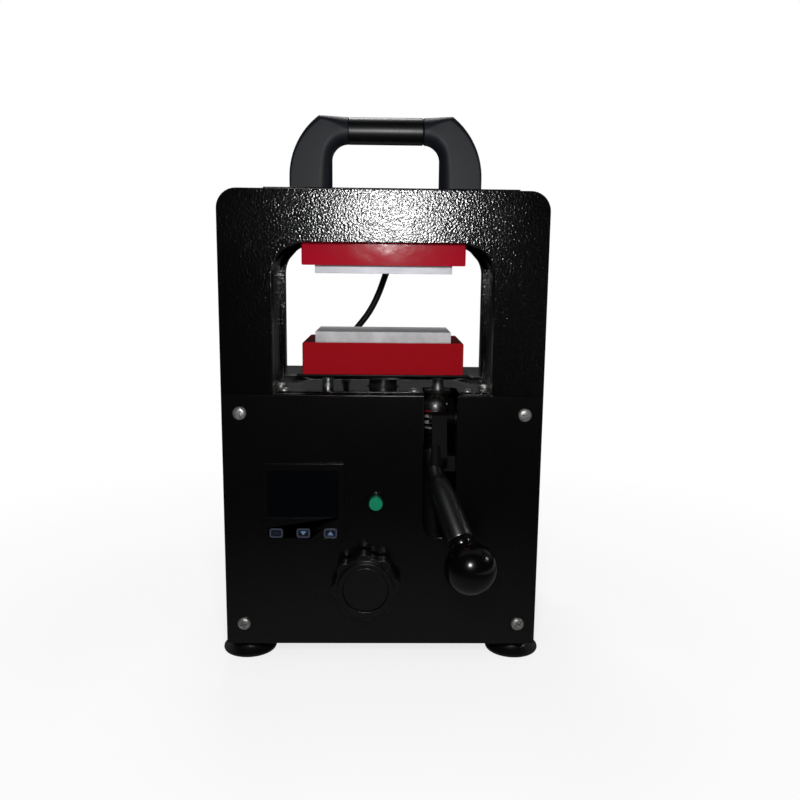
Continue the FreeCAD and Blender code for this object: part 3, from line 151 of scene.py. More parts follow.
class HeatPressStudio(bpy.types.PropertyGroup):
    """The camera and the light."""

    lens: FloatProperty(name="Lens", description="Focal length", default=36.31, unit="CAMERA")
    key_power: power("Key", "Power of the lamp over the camera", 1.8)
    side_power: power("Side", "Power of the lamp on the right", 0.6)
    top_power: power("Top", "Power of the lamp above and behind", 6.0)
    ambient: FloatProperty(name="Ambient", description="Brightness of the room", default=0.28)
    floor_colour: colour("Floor", "Colour of the floor", (0.86, 0.86, 0.86))


# Modelling helpers
def box_mm(node):
    """The lowest and the highest corner of a CAD node, in millimetres."""
    return [corner * 1000 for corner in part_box(node)]


def deselect():
    if bpy.context.object and bpy.context.object.mode != "OBJECT":
        bpy.ops.object.mode_set(mode="OBJECT")
    bpy.ops.object.select_all(action="DESELECT")


def only(piece):
    """Makes one piece the selected and active one."""
    deselect()
    piece.select_set(True)
    bpy.context.view_layer.objects.active = piece


def new_object(name, data):
    """An object of its own in the scene, for some data."""
    made = bpy.data.objects.new(name, data)
    bpy.context.scene.collection.objects.link(made)
    return made


def named(name):
    piece = bpy.context.object
    piece.name = name
    piece.data.name = name
    return piece


def settle(piece):
    """Puts the piece's place, turn and size into its mesh."""
    only(piece)
    bpy.ops.object.transform_apply(location=True, rotation=True, scale=True)
    return piece


def turn_towards(piece, place, way, turn=0.0):
    """Moves a piece made along +Z to a place, facing a way, turned about its own axis."""
    facing = Vector(way).to_track_quat("Z", "Y").to_matrix().to_4x4()
    spin = Matrix.Rotation(math.radians(turn), 4, "Z")
    piece.matrix_world = Matrix.Translation(place) @ facing @ spin
    return settle(piece)


def apply_modifier(piece, kind, **settings):
    only(piece)
    modifier = piece.modifiers.new(kind.title(), kind)
    for key, value in settings.items():
        setattr(modifier, key, value)
    bpy.ops.object.modifier_apply(modifier=modifier.name)
    return piece


def shade(piece, angle=35):
    """Smooth shading that keeps sharp edges, and flat faces truly flat."""
    only(piece)
    bpy.ops.object.shade_smooth_by_angle(angle=math.radians(angle))
    return apply_modifier(piece, "WEIGHTED_NORMAL", keep_sharp=True)


def round_edges(piece, width, segments=2, angle=35, clamp=True):
    apply_modifier(piece, "BEVEL", width=width, segments=segments, limit_method="ANGLE",
                   angle_limit=math.radians(angle), miter_outer="MITER_ARC", use_clamp_overlap=clamp)
    return shade(piece, angle)


def edit(piece):
    only(piece)
    bpy.ops.object.mode_set(mode="EDIT")
    bpy.ops.mesh.select_all(action="SELECT")


def leave_edit():
    """Turns every face outwards and leaves edit mode."""
    bpy.ops.mesh.select_all(action="SELECT")
    bpy.ops.mesh.normals_make_consistent(inside=False)
    bpy.ops.object.mode_set(mode="OBJECT")


def solid_copy(node):
    """A merged copy of a CAD node's loose triangles, ready to be shaped."""
    piece = new_object(node + "_dressed", NODES[node].data.copy())
    piece.data.name = piece.name
    edit(piece)
    bpy.ops.mesh.remove_doubles(threshold=0.00001)
    bpy.ops.mesh.dissolve_limited(angle_limit=math.radians(0.5))
    bpy.ops.object.mode_set(mode="OBJECT")
    return piece


def turned(name, profile, steps):
    """A profile of (radius, height) points in millimetres, spun round the Z axis."""
    deselect()
    bpy.ops.mesh.primitive_plane_add(size=0.01, location=(0, 0, 0), enter_editmode=True)
    bpy.ops.mesh.merge(type="CENTER")
    radius, height = profile[0]
    bpy.ops.transform.translate(value=mm(radius, 0, height))
    for (radius, height), (next_radius, next_height) in zip(profile, profile[1:]):
        step = mm(next_radius - radius, 0, next_height - height)
        bpy.ops.mesh.extrude_region_move(TRANSFORM_OT_translate={"value": step})
    bpy.ops.mesh.select_all(action="SELECT")
    bpy.ops.mesh.spin(steps=steps, angle=math.tau, center=(0, 0, 0), axis=(0, 0, 1))
    bpy.ops.mesh.select_all(action="SELECT")
    bpy.ops.mesh.remove_doubles(threshold=0.000002)
    leave_edit()
    return named(name)


def arc(centre, radius, start, end, count):
    """Profile points on a circle, from one angle in degrees to another."""
    angles = [math.radians(start + (end - start) * index / count) for index in range(count + 1)]
    return [(centre[0] + radius * math.cos(a), centre[1] + radius * math.sin(a)) for a in angles]


def block(name, low, high):
    """A cube primitive stretched between two corners in millimetres."""
    deselect()
    low, high = mm(*low), mm(*high)
    bpy.ops.mesh.primitive_cube_add(size=1, location=(low + high) / 2, scale=high - low)
    return settle(named(name))


def loft(name, rings):
    """A closed skin drawn over rings of points in millimetres, capped at both ends."""
    around = len(rings[0])
    deselect()
    bpy.ops.mesh.primitive_grid_add(x_subdivisions=around, y_subdivisions=len(rings) - 1, size=1)
    piece = named(name)
    for number, vertex in enumerate(piece.data.vertices):
        ring, step = divmod(number, around + 1)
        vertex.co = mm(*rings[ring][step % around])
    edit(piece)
    bpy.ops.mesh.remove_doubles(threshold=0.000002)
    bpy.ops.mesh.fill_holes(sides=0)
    leave_edit()
    return piece


def join(name, pieces):
    deselect()
    for piece in pieces:
        piece.select_set(True)
    bpy.context.view_layer.objects.active = pieces[0]
    bpy.ops.object.join()
    return named(name)


def copies(name, model, places, way):
    """Copies of one model, each with its own mesh and turn, joined into one piece."""
    made = []
    for index, place in enumerate(places):
        piece = new_object(name, model.data.copy())
        made.append(turn_towards(piece, place, way, SCREW_TURNS[index % len(SCREW_TURNS)]))
    bpy.data.objects.remove(model)
    return join(name, made)


def carve(piece, tool):
    """Cuts a tool's shape out of a piece."""
    apply_modifier(piece, "BOOLEAN", operation="DIFFERENCE", solver="EXACT", object=tool)
    bpy.data.objects.remove(tool)
    return piece


def curve_piece(name, points, radius, order=3):
    """A round bar along a smooth NURBS line through the hull of some points."""
    data = bpy.data.curves.new(name, "CURVE")
    data.dimensions = "3D"
    spline = data.splines.new("NURBS")
    spline.points.add(len(points) - 1)
    for point, place in zip(spline.points, points):
        point.co = (*place, 1.0)
    spline.order_u = order
    spline.use_endpoint_u = True
    spline.resolution_u = 12
    data.bevel_depth = radius
    data.bevel_resolution = 6
    data.use_fill_caps = True
    return new_object(name, data)


def finish_piece(piece, material, node, replaces=True):
    """Gives a piece its material and the body of the CAD node it stands for or lies on, and hides that node
    when the piece replaces it.
    """
    piece.data.materials.clear()
    piece.data.materials.append(MATERIALS[material])
    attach(piece, BODY_OF[node])
    if replaces:
        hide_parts(node)


def dress(node, material, edge, segments=2, angle=35, clamp=True):
    """A CAD node's own shape with its sharp edges rounded."""
    finish_piece(round_edges(solid_copy(node), edge, segments, angle, clamp), material, node)


# Materials
MATERIALS = {}
GROUPS = {}


def new_group(name, inputs, outputs):
    """An empty shader group with its sockets, and its two end nodes."""
    tree = bpy.data.node_groups.new(name, "ShaderNodeTree")
    for label, value in inputs:
        socket = tree.interface.new_socket(label, in_out="INPUT", socket_type="NodeSocketFloat")
        socket.default_value = value
    for label in outputs:
        tree.interface.new_socket(label, in_out="OUTPUT", socket_type="NodeSocketFloat")
    return tree, tree.nodes.new("NodeGroupInput"), tree.nodes.new("NodeGroupOutput")


def feed(tree, value, socket):
    if isinstance(value, bpy.types.NodeSocket):
        tree.links.new(value, socket)
    else:
        socket.default_value = value


def shader_node(tree, kind, *values, **settings):
    """A shader node of a kind, with its settings, and its first sockets fed in their order."""
    node = tree.nodes.new("ShaderNode" + kind)
    for key, value in settings.items():
        setattr(node, key, value)
    for value, socket in zip(values, node.inputs):
        feed(tree, value, socket)
    return node


def noise(tree, vector, scale, detail=2.0, roughness=0.5):
    """A noise texture; scale is a number or a socket."""
    node = shader_node(tree, "TexNoise", vector)
    for label, value in (("Scale", scale), ("Detail", detail), ("Roughness", roughness)):
        feed(tree, value, node.inputs[label])
    return node.outputs["Fac"]


def math_node(tree, operation, *values):
    return shader_node(tree, "Math", *values, operation=operation).outputs[0]


def spread(tree, value, low, high, new_low, new_high):
    """Maps a value from one range to another, held at its ends."""
    return shader_node(tree, "MapRange", value, low, high, new_low, new_high).outputs["Result"]


def object_place(tree):
    return shader_node(tree, "TexCoord").outputs["Object"]


def make_peel_group():
    """The lumpy skin of sprayed paint or moulded plastic."""
    tree, start, end = new_group("Paint Peel", [("Scale", 400.0), ("Fineness", 0.3)], ["Height"])
    place = object_place(tree)
    broad = noise(tree, place, start.outputs["Scale"], 1.0)
    fine_scale = math_node(tree, "MULTIPLY", start.outputs["Scale"], 3.7)
    fine = math_node(tree, "MULTIPLY", noise(tree, place, fine_scale, 1.0), start.outputs["Fineness"])
    tree.links.new(math_node(tree, "ADD", broad, fine), end.inputs["Height"])
    return tree


def make_wear_group():
    """Dust and handling marks: a broad drift and small specks."""
    inputs = [("Specks", 0.1), ("Drift", 1.0)]
    tree, start, end = new_group("Dust and Handling", inputs, ["Drift", "Specks"])
    place = object_place(tree)
    drift = noise(tree, place, 14.0, 4.0, 0.6)
    centred = math_node(tree, "SUBTRACT", drift, 0.5)
    tree.links.new(math_node(tree, "MULTIPLY", centred, start.outputs["Drift"]), end.inputs["Drift"])
    dots = spread(tree, noise(tree, place, 900.0, 0.0), 0.72, 0.80, 0.0, 1.0)
    patches = spread(tree, noise(tree, place, 30.0, 2.0), 0.5, 0.7, 0.0, 1.0)
    both = math_node(tree, "MULTIPLY", dots, patches)
    tree.links.new(math_node(tree, "MULTIPLY", both, start.outputs["Specks"]), end.inputs["Specks"])
    return tree


def make_grain_group():
    """Fine lines that a cutter or a brush leaves along one axis."""
    inputs = [("Along " + axis, 1.0) for axis in "XYZ"]
    tree, start, end = new_group("Machining Grain", inputs, ["Lines"])
    place = shader_node(tree, "SeparateXYZ", object_place(tree)).outputs
    scaled = [math_node(tree, "MULTIPLY", place[axis], start.outputs["Along " + axis]) for axis in "XYZ"]
    whole = shader_node(tree, "CombineXYZ", *scaled).outputs[0]
    tree.links.new(noise(tree, whole, 60.0, 3.0, 0.7), end.inputs["Lines"])
    return tree


def make_mottle_group():
    """Blotches that heat and handling leave on bare metal."""
    tree, start, end = new_group("Heat Mottle", [("Scale", 60.0)], ["Blotches"])
    blotches = noise(tree, object_place(tree), start.outputs["Scale"], 5.0, 0.65)
    tree.links.new(spread(tree, blotches, 0.35, 0.65, 0.0, 1.0), end.inputs["Blotches"])
    return tree


def placed_group(tree, name, **values):
    node = tree.nodes.new("ShaderNodeGroup")
    node.node_tree = GROUPS[name]
    for label, value in values.items():
        node.inputs[label.replace("_", " ")].default_value = value
    return node.outputs


def mix_colour(tree, share, first, second):
    """Two colours mixed by a share; a colour is a triple or a socket."""
    node = tree.nodes.new("ShaderNodeMix")
    node.data_type = "RGBA"
    tree.links.new(share, node.inputs["Factor"])
    for value, socket in ((first, node.inputs["A"]), (second, node.inputs["B"])):
        feed(tree, value if isinstance(value, bpy.types.NodeSocket) else (*value, 1), socket)
    return node.outputs["Result"]


def base_colour(tree, base, mottle, painted_shade):
    """The colour under the wear: plain, blotched with another, or covered along an axis by a dark colour of
    painted shade.
    """
    if mottle:
        scale, second = mottle
        return mix_colour(tree, placed_group(tree, "mottle", Scale=scale)["Blotches"], base, second)
    if painted_shade:
        # Painted shade: the base colour gives way to a darker one along one axis
        axis, start, end, second = painted_shade
        along = shader_node(tree, "SeparateXYZ", object_place(tree)).outputs[axis]
        return mix_colour(tree, spread(tree, along, start, end, 0.0, 1.0), base, second)
    return base


def finish(name, base, roughness, peel=(900.0, 0.00002, 0.4), grain=None, drift=0.3, specks=0.0,
           tone=0.35, mottle=None, painted_shade=None, **sockets):
    """A Principled material: colour with drift and dust, roughness, and a bump.

    peel is (scale, depth in metres, fineness), or grain is (x, y, z stretch, depth in metres);
    mottle is (scale, second colour); painted_shade is (axis, start, end, colour), in metres along the axis:
    a dark colour of painted shade that takes over from start to end.
    """
    material = bpy.data.materials.new(name)
    material.use_nodes = True
    MATERIALS[name] = material
    tree = material.node_tree
    shader = tree.nodes["Principled BSDF"]
    for label, value in sockets.items():
        shader.inputs[label.replace("_", " ")].default_value = value
    wear = placed_group(tree, "wear", Specks=specks, Drift=drift)
    under = base_colour(tree, tuple(base), mottle, painted_shade)
    scaled = shader_node(tree, "VectorMath", under, operation="SCALE")
    tree.links.new(math_node(tree, "MULTIPLY_ADD", wear["Drift"], tone, 1.0), scaled.inputs["Scale"])
    dusty = mix_colour(tree, wear["Specks"], scaled.outputs["Vector"], DUST)
    tree.links.new(dusty, shader.inputs["Base Color"])
    rough = math_node(tree, "MULTIPLY_ADD", wear["Drift"], ROUGHNESS_DRIFT, roughness)
    if grain:
        *stretch, depth = grain
        height = placed_group(tree, "grain", Along_X=stretch[0], Along_Y=stretch[1],
                              Along_Z=stretch[2])["Lines"]
        rough = math_node(tree, "ADD", rough, spread(tree, height, 0.3, 0.7, -0.06, 0.06))
    else:
        scale, depth, fineness = peel
        height = placed_group(tree, "peel", Scale=scale, Fineness=fineness)["Height"]
    tree.links.new(rough, shader.inputs["Roughness"])
    bump = shader_node(tree, "Bump", 1.0, depth)
    tree.links.new(height, bump.inputs["Height"])
    tree.links.new(bump.outputs["Normal"], shader.inputs["Normal"])


def make_paints(colours):
    finish("Frame Hammertone", colours.frame_black, 0.14, peel=(540.0, 0.00026, 0.10))
    finish("Liner Gloss", colours.frame_black, 0.30, peel=(240.0, 0.00002, 0.2), Specular_IOR_Level=0.12)
    finish("Deck Gloss", colours.frame_black, 0.13, peel=(110.0, 0.00004, 0.1), specks=0.02)
    finish("Panel Powder", colours.panel_black, 0.20, peel=(900.0, 0.00001, 0.4), specks=0.01)
    finish("Upper Red", colours.upper_red, 0.10, peel=(70.0, 0.00010, 0.2), tone=0.25,
           Specular_IOR_Level=0.3)
    finish("Lower Red", colours.lower_red, 0.10, peel=(90.0, 0.00008, 0.2), tone=0.25)
    finish("Black Casting", (0.0015, 0.0015, 0.0016), 0.62, peel=(330.0, 0.00012, 0.4),
           Specular_IOR_Level=0.08)
    finish("Dark Steel", (0.003, 0.003, 0.0032), 0.50, peel=(500.0, 0.00006, 0.4), Specular_IOR_Level=0.2)


def make_metals(colours):
    # The two heated plates are one aluminium: the upper is coloured darker and the lower lighter to match
    # how the lamps fall on each, painted shade and painted light
    finish("Upper Platen Aluminium", colours.aluminium, 0.45, grain=(1.0, 26.0, 26.0, 0.00003),
           drift=0.25, tone=0.12, mottle=(45.0, (0.46, 0.46, 0.49)), Metallic=0.3)
    finish("Lower Platen Aluminium", (0.56, 0.56, 0.58), 0.45, grain=(1.0, 26.0, 26.0, 0.00004),
           drift=0.5, tone=0.25, mottle=(70.0, (0.42, 0.42, 0.43)), Metallic=0.10)
    finish("Insulation Board", (0.72, 0.69, 0.62), 0.9, peel=(700.0, 0.0003, 0.5), specks=0.02)
    finish("Machined Steel", (0.55, 0.55, 0.56), 0.32, grain=(2.0, 18.0, 18.0, 0.00003), specks=0.02,
           Metallic=1.0)
    finish("Ground Chrome", (0.72, 0.73, 0.75), 0.36, grain=(1.0, 1.0, 30.0, 0.00001), specks=0.02,
           Metallic=1.0)
    finish("Dome Steel", (0.24, 0.24, 0.24), 0.42, peel=(420.0, 0.00016, 0.5), specks=0.02,
           mottle=(300.0, (0.06, 0.06, 0.06)), Metallic=1.0)
    finish("Ram Steel", (0.05, 0.05, 0.05), 0.30, grain=(1.0, 1.0, 30.0, 0.00001), Metallic=0.8)
    finish("Zinc Plate", (0.62, 0.62, 0.60), 0.42, peel=(900.0, 0.00006, 0.5), specks=0.02,
           mottle=(500.0, (0.30, 0.30, 0.29)), Metallic=0.85)
    finish("Spring Wire", (0.80, 0.79, 0.76), 0.46, peel=(800.0, 0.00003, 0.5), specks=0.02,
           Metallic=0.7)
    # The pump spring's turns below 0.2105 m are painted near-black: painted shade standing for the shadow
    # on its lower turns
    finish("Oiled Spring", (0.85, 0.84, 0.80), 0.46, peel=(800.0, 0.00003, 0.5),
           painted_shade=("Z", 0.2125, 0.2105, (0.003, 0.003, 0.003)), Metallic=0.7)
    # The brass guide bushes are coloured near-black: painted shade for the shadow they stand in
    finish("Bush Bronze", (0.0050, 0.0040, 0.0030), 0.50, grain=(1.0, 1.0, 20.0, 0.00003),
           Specular_IOR_Level=0.2)


def make_plastics(colours):
    finish("Foot Rubber", (0.004, 0.004, 0.004), 0.36, peel=(500.0, 0.00005, 0.5), specks=0.04)
    finish("Matte Plastic", (0.0022, 0.0024, 0.0026), 0.34, peel=(900.0, 0.00004, 0.5), specks=0.01)
    finish("Controller Plastic", (0.0012, 0.0012, 0.0013), 0.22, peel=(900.0, 0.00001, 0.5))
    finish("Leg Plastic", (0.0065, 0.0082, 0.0130), 0.50, peel=(1600.0, 0.00004, 0.5), specks=0.02,
           Specular_IOR_Level=0.30)
    finish("Grip Plastic", (0.0025, 0.0026, 0.0030), 0.38)
    finish("Gloss Plastic", (0.0012, 0.0012, 0.0014), 0.20, peel=(60.0, 0.00002, 0.1))
    finish("Lever Plastic", (0.0014, 0.0014, 0.0016), 0.29, peel=(300.0, 0.00003, 0.3),
           Specular_IOR_Level=1.0, IOR=1.7)
    # The seal's red is darkened for the shade it sits in, and past x 0.046 m it is painted near-black:
    # painted shade on both counts
    finish("Red Seal", (0.11, 0.004, 0.008), 0.45, peel=(600.0, 0.00004, 0.4),
           painted_shade=("X", 0.0435, 0.0460, (0.006, 0.003, 0.003)))
    finish("Lead Sleeve", (0.0020, 0.0020, 0.0025), 0.50, peel=(900.0, 0.00006, 0.4),
           Specular_IOR_Level=0.2)
    finish("Relay Body", (0.60, 0.60, 0.58), 0.5, peel=(1200.0, 0.00004, 0.4), specks=0.02)
    finish("Display Window", (0.0006, 0.0013, 0.0020), 0.10, peel=(90.0, 0.00001, 0.1),
           Specular_IOR_Level=0.25)
    finish("Key Line", colours.key_line, 0.45, drift=0.9, tone=0.9)
    finish("Key Arrow", colours.key_arrow, 0.45)
    finish("Key Field", (0.0012, 0.0040, 0.0150), 0.40)
    finish("Button Green", colours.button_green, 0.20, peel=(120.0, 0.00002, 0.2))


def make_materials(colours):
    GROUPS.update(peel=make_peel_group(), wear=make_wear_group(), grain=make_grain_group(),
                  mottle=make_mottle_group())
    make_paints(colours)
    make_metals(colours)
    make_plastics(colours)


SLOT_FINISH = {
    "frame_paint": "Liner Gloss",
    "panel_paint": "Panel Powder",
    "deck_paint": "Deck Gloss",
    "machined_steel": "Machined Steel",
    "ram_chrome": "Ground Chrome",
    "plunger_chrome": "Dome Steel",
    "zinc_steel": "Zinc Plate",
    "foot_rubber": "Foot Rubber",
    "matte_black_plastic": "Matte Plastic",
    "gloss_black_plastic": "Gloss Plastic",
    "gloss_black_steel": "Gloss Plastic",
    "relay_plastic": "Relay Body",
    "upper_red_paint": "Upper Red",
    "lower_red_paint": "Lower Red",
    "insulation": "Insulation Board",
    "platen_aluminium": "Upper Platen Aluminium",
    "heater_steel": "Machined Steel",
    "lead_sleeve": "Lead Sleeve",
    "gland_plastic": "Matte Plastic",
    "bush_brass": "Bush Bronze",
    "spring_steel": "Spring Wire",
    "black_casting": "Black Casting",
    "jack_paint": "Black Casting",
    "pump_steel": "Dark Steel",
    "washer_red": "Red Seal",
    "display_glass": "Display Window",
    "key_plastic": "Matte Plastic",
    "button_ring": "Gloss Plastic",
    "button_green": "Button Green",
    "handle_plastic": "Leg Plastic",
}
NODE_FINISH = {"fulcrum_bolt": "Dark Steel", "ram": "Ram Steel"}


def finish_cad_nodes():
    """Gives each CAD node that stays in view the finish of its slot."""
    for node, solid in NODES.items():
        material = MATERIALS[NODE_FINISH.get(node, SLOT_FINISH[SLOT_OF[node]])]
        solid.data.materials.clear()
        solid.data.materials.append(material)


# Operators
class HeatPressOperator:
    """What the press's operators share."""

    bl_options = {"REGISTER", "UNDO"}

    def execute(self, context):
        self.build(context.scene)
        return {"FINISHED"}


class HEATPRESS_OT_studio(HeatPressOperator, bpy.types.Operator):
    """Sets up the floor, the room, the lamps and the camera"""

    bl_idname = "heatpress.studio"
    bl_label = "Studio"

    # The camera's place in millimetres, and its yaw, pitch and roll in degrees
    camera_place = (1.27, -744.75, 357.57)
    camera_turns = (1.14, 9.61, 0.60)

    # Each lamp's name, setting, place and diameter, and what they all face, in metres
    lamps = (
        ("Key Lamp", "key_power", (0.010, -0.585, 0.432), 0.075),
        ("Side Lamp", "side_power", (0.93, -0.04, 0.62), 0.06),
        ("Top Lamp", "top_power", (-0.10, 0.60, 1.40), 0.50),
    )
    lamp_aim = Vector((0, 0, 0.26))

    def build(self, scene):
        settings = scene.heat_press_studio
        self.make_camera(settings)
        self.make_floor(settings)
        self.make_room(settings)
        for name, setting, place, size in self.lamps:
            self.make_lamp(name, Vector(place), size, getattr(settings, setting))
        scene.view_settings.view_transform = "Standard"

    def make_camera(self, settings):
        data = bpy.data.cameras.new("Camera")
        data.lens = settings.lens
        data.clip_start = 0.01
        camera = new_object("Camera", data)
        yaw, pitch, roll = (math.radians(angle) for angle in self.camera_turns)
        turn = Matrix.Rotation(-yaw, 4, "Z") @ Matrix.Rotation(math.pi / 2 - pitch, 4, "X")
        turn = turn @ Matrix.Rotation(roll, 4, "Z")
        camera.matrix_world = Matrix.Translation(mm(*self.camera_place)) @ turn
        bpy.context.scene.camera = camera

    def make_floor(self, settings):
        """A matt floor whose picture fades to plain white away from the press."""
        deselect()
        bpy.ops.mesh.primitive_plane_add(size=8, location=(0, 0, 0))
        floor = named("Floor")
        material = bpy.data.materials.new("Studio Floor")
        material.use_nodes = True
        floor.data.materials.append(material)
        tree = material.node_tree
        shader = tree.nodes["Principled BSDF"]
        shader.inputs["Base Color"].default_value = (*settings.floor_colour, 1)
        shader.inputs["Roughness"].default_value = 0.8
        shader.inputs["Specular IOR Level"].default_value = 0.2
        place = object_place(tree)
        distance = shader_node(tree, "VectorMath", place, operation="LENGTH").outputs["Value"]
        away = spread(tree, distance, 0.30, 0.75, 0.0, 1.0)
        path = shader_node(tree, "LightPath").outputs
        camera = path["Is Camera Ray"]
        shiny = self.shiny(tree, path)
        gloss = math_node(tree, "MULTIPLY", shiny, self.floor_in_gloss(tree, place, distance))
        seen_white = spread(tree, away, 0.0, 1.0, 1.10, 1.0)
        strength = math_node(tree, "MULTIPLY_ADD", camera, seen_white, gloss)
        glow = shader_node(tree, "Emission", (1, 1, 1, 1), strength)
        camera_share = math_node(tree, "MULTIPLY", camera, spread(tree, away, 0.0, 1.0, 0.72, 1.0))
        share = math_node(tree, "MAXIMUM", camera_share, shiny)
        mix = shader_node(tree, "MixShader", share, shader.outputs[0], glow.outputs[0])
        tree.links.new(mix.outputs[0], tree.nodes["Material Output"].inputs["Surface"])

    def floor_in_gloss(self, tree, place, distance):
        """How bright a gloss shows the floor: most behind the press, close to it and far to the right."""
        axes = shader_node(tree, "SeparateXYZ", place).outputs
        behind = spread(tree, axes["Y"], -0.1, 0.4, 0.14, 0.32)
        nearby = spread(tree, distance, 0.15, 0.50, 1.0, 0.15)
        on_the_right = spread(tree, axes["X"], 0.50, 0.80, 0.0, 0.30)
        return math_node(tree, "MAXIMUM", math_node(tree, "MULTIPLY", behind, nearby), on_the_right)

    def shiny(self, tree, path):
        """One for what a gloss or a glass shows."""
        return math_node(tree, "MAXIMUM", path["Is Glossy Ray"], path["Is Transmission Ray"])

    def make_room(self, settings):
        """White to the camera; to a gloss, a dark room with a pale ceiling and a pale far wall."""
        world = bpy.data.worlds.new("Studio Room")
        bpy.context.scene.world = world
        world.use_nodes = True
        tree = world.node_tree
        path = shader_node(tree, "LightPath").outputs
        way = shader_node(tree, "SeparateXYZ", shader_node(tree, "TexCoord").outputs["Generated"]).outputs
        wall = math_node(tree, "MULTIPLY", spread(tree, way["Y"], 0.30, 0.80, 0.0, 0.26),
                         spread(tree, way["Z"], 0.12, 0.26, 0.0, 1.0))
        ceiling = math_node(tree, "MULTIPLY", spread(tree, way["Y"], -0.15, 0.05, 0.0, 0.15),
                            spread(tree, way["Z"], 0.70, 0.85, 0.0, 1.0))
        room = math_node(tree, "ADD", math_node(tree, "MAXIMUM", wall, ceiling), 0.006)
        shiny = self.shiny(tree, path)
        shown = math_node(tree, "MULTIPLY", shiny, room)
        camera_or_shown = math_node(tree, "MAXIMUM", path["Is Camera Ray"], shown)
        plain = math_node(tree, "MULTIPLY", math_node(tree, "SUBTRACT", 1.0, shiny), settings.ambient)
        background = tree.nodes["Background"]
        background.inputs["Color"].default_value = (1, 1, 1, 1)
        tree.links.new(math_node(tree, "MAXIMUM", camera_or_shown, plain), background.inputs["Strength"])

    def make_lamp(self, name, place, size, energy):
        data = bpy.data.lights.new(name, "AREA")
        data.shape = "DISK"
        data.size = size
        data.energy = energy
        lamp = new_object(name, data)
        lamp.location = place
        lamp.rotation_mode = "QUATERNION"
        lamp.rotation_quaternion = (self.lamp_aim - place).to_track_quat("-Z", "Y")


class HEATPRESS_OT_heater_lead(HeatPressOperator, bpy.types.Operator):
    """Lays the upper heater's lead from its gland to the rear box"""

    bl_idname = "heatpress.heater_lead"
    bl_label = "Heater Lead"

    def build(self, scene):
        shapes = scene.heat_press_shapes
        lead = curve_piece("upper_lead", [mm(*point) for point in LEAD_ROUTE], shapes.lead_radius)
        finish_piece(lead, "Lead Sleeve", "upper_heater_lead")


class HEATPRESS_OT_frame(HeatPressOperator, bpy.types.Operator):
    """Finishes the frame plates, their sheets and the deck"""

    bl_idname = "heatpress.frame"
    bl_label = "Frame"

    # The deck's lip, in millimetres: its section, its rounding, and the notch that it leaves open
    lip_depth = 1.4
    lip_height = 0.8
    lip_round = 0.4
    lip_gap = 0.1
    end_gap = 1.0
    notch = (35.4, 68.4)

    def build(self, scene):
        shapes = scene.heat_press_shapes
        for node in ("front_portal_plate", "rear_portal_plate"):
            dress(node, "Frame Hammertone", shapes.plate_edge, 4, clamp=False)
        dress("frame_wrap", "Frame Hammertone", shapes.sheet_edge)
        dress("window_liners", "Liner Gloss", shapes.sheet_edge)
        dress("deck_plate", "Deck Gloss", shapes.sheet_edge)
        self.make_deck_lips()
        dress("top_plate", "Frame Hammertone", shapes.plate_edge)
        dress("front_cover", "Panel Powder", shapes.sheet_edge, 4, clamp=False)
        for node in ("rear_housing", "bottom_plate"):
            dress(node, "Panel Powder", shapes.sheet_edge)

    def make_deck_lips(self):
        """The painted lip along the deck's front edge, each side of the pump's notch."""
        low, high = box_mm("deck_plate")
        front = box_mm("front_portal_plate")[1].y + self.lip_gap
        runs = ((low.x + self.end_gap, self.notch[0]), (self.notch[1], high.x - self.end_gap))
        back, top = front + self.lip_depth, high.z + self.lip_height
        lips = [block("lip", (start, front, high.z), (end, back, top)) for start, end in runs]
        lips = round_edges(join("deck_lips", lips), mm(self.lip_round), 4)
        finish_piece(lips, "Frame Hammertone", "front_portal_plate", replaces=False)


class HEATPRESS_OT_heated_plates(HeatPressOperator, bpy.types.Operator):
    """Finishes both housings, their plates and the carrier"""

    bl_idname = "heatpress.heated_plates"
    bl_label = "Heated Plates"

    def build(self, scene):
        shapes = scene.heat_press_shapes
        dress("upper_heater_housing", "Upper Red", shapes.block_edge, 3)
        dress("lower_heater_housing", "Lower Red", shapes.block_edge, 3)
        dress("upper_platen", "Upper Platen Aluminium", shapes.block_edge)
        dress("lower_platen", "Lower Platen Aluminium", shapes.block_edge)
        dress("carrier_plate", "Liner Gloss", shapes.sheet_edge)


class HEATPRESS_OT_springs(HeatPressOperator, bpy.types.Operator):
    """Winds the return springs and the pump's spring"""

    bl_idname = "heatpress.springs"
    bl_label = "Springs"

    # Radius of each spring's wire, its turns, and how far it gives, in millimetres
    return_wire = 0.8
    return_turns = 13
    lift_travel = 50.8
    pump_wire = 1.35
    pump_turns = 6
    plunger_travel = 19.05

    def build(self, scene):
        steps = scene.heat_press_shapes.spring_steps
        low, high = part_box("return_springs")
        radius = (high.y - low.y) / 2
        for side, x in (("left", low.x + radius), ("right", high.x - radius)):
            spring = self.coil("return_spring_" + side, (x, 0, low.z), high.z - low.z, radius,
                               mm(self.return_wire), self.return_turns, steps)
            finish_piece(spring, "Spring Wire", "return_springs")
            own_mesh(spring)
        low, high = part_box("pump_spring")
        centre = (low + high) / 2
        spring = self.coil("pump_coil", (centre.x, centre.y, low.z), high.z - low.z,
                           (high.x - low.x) / 2, mm(self.pump_wire), self.pump_turns, steps)
        # The pump coil's lower turns carry painted shade
        finish_piece(spring, "Oiled Spring", "pump_spring")
        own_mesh(spring)

    def coil(self, name, foot, height, radius, wire, turns, steps):
        """A round wire wound up from a point, with closed end turns."""
        deselect()
        bpy.ops.mesh.primitive_circle_add(vertices=10, radius=wire, location=(radius - wire, 0, 0),
                                          rotation=(math.pi / 2, 0, 0), fill_type="NOTHING")
        piece = settle(named(name))
        pitch = (height - 2 * wire) / turns
        apply_modifier(piece, "SCREW", axis="Z", angle=math.tau, screw_offset=pitch, iterations=turns,
                       steps=steps, render_steps=steps, use_merge_vertices=False)
        edit(piece)
        bpy.ops.mesh.fill_holes(sides=0)
        leave_edit()
        piece.location = Vector(foot) + Vector((0, 0, wire))
        return shade(settle(piece), 50)


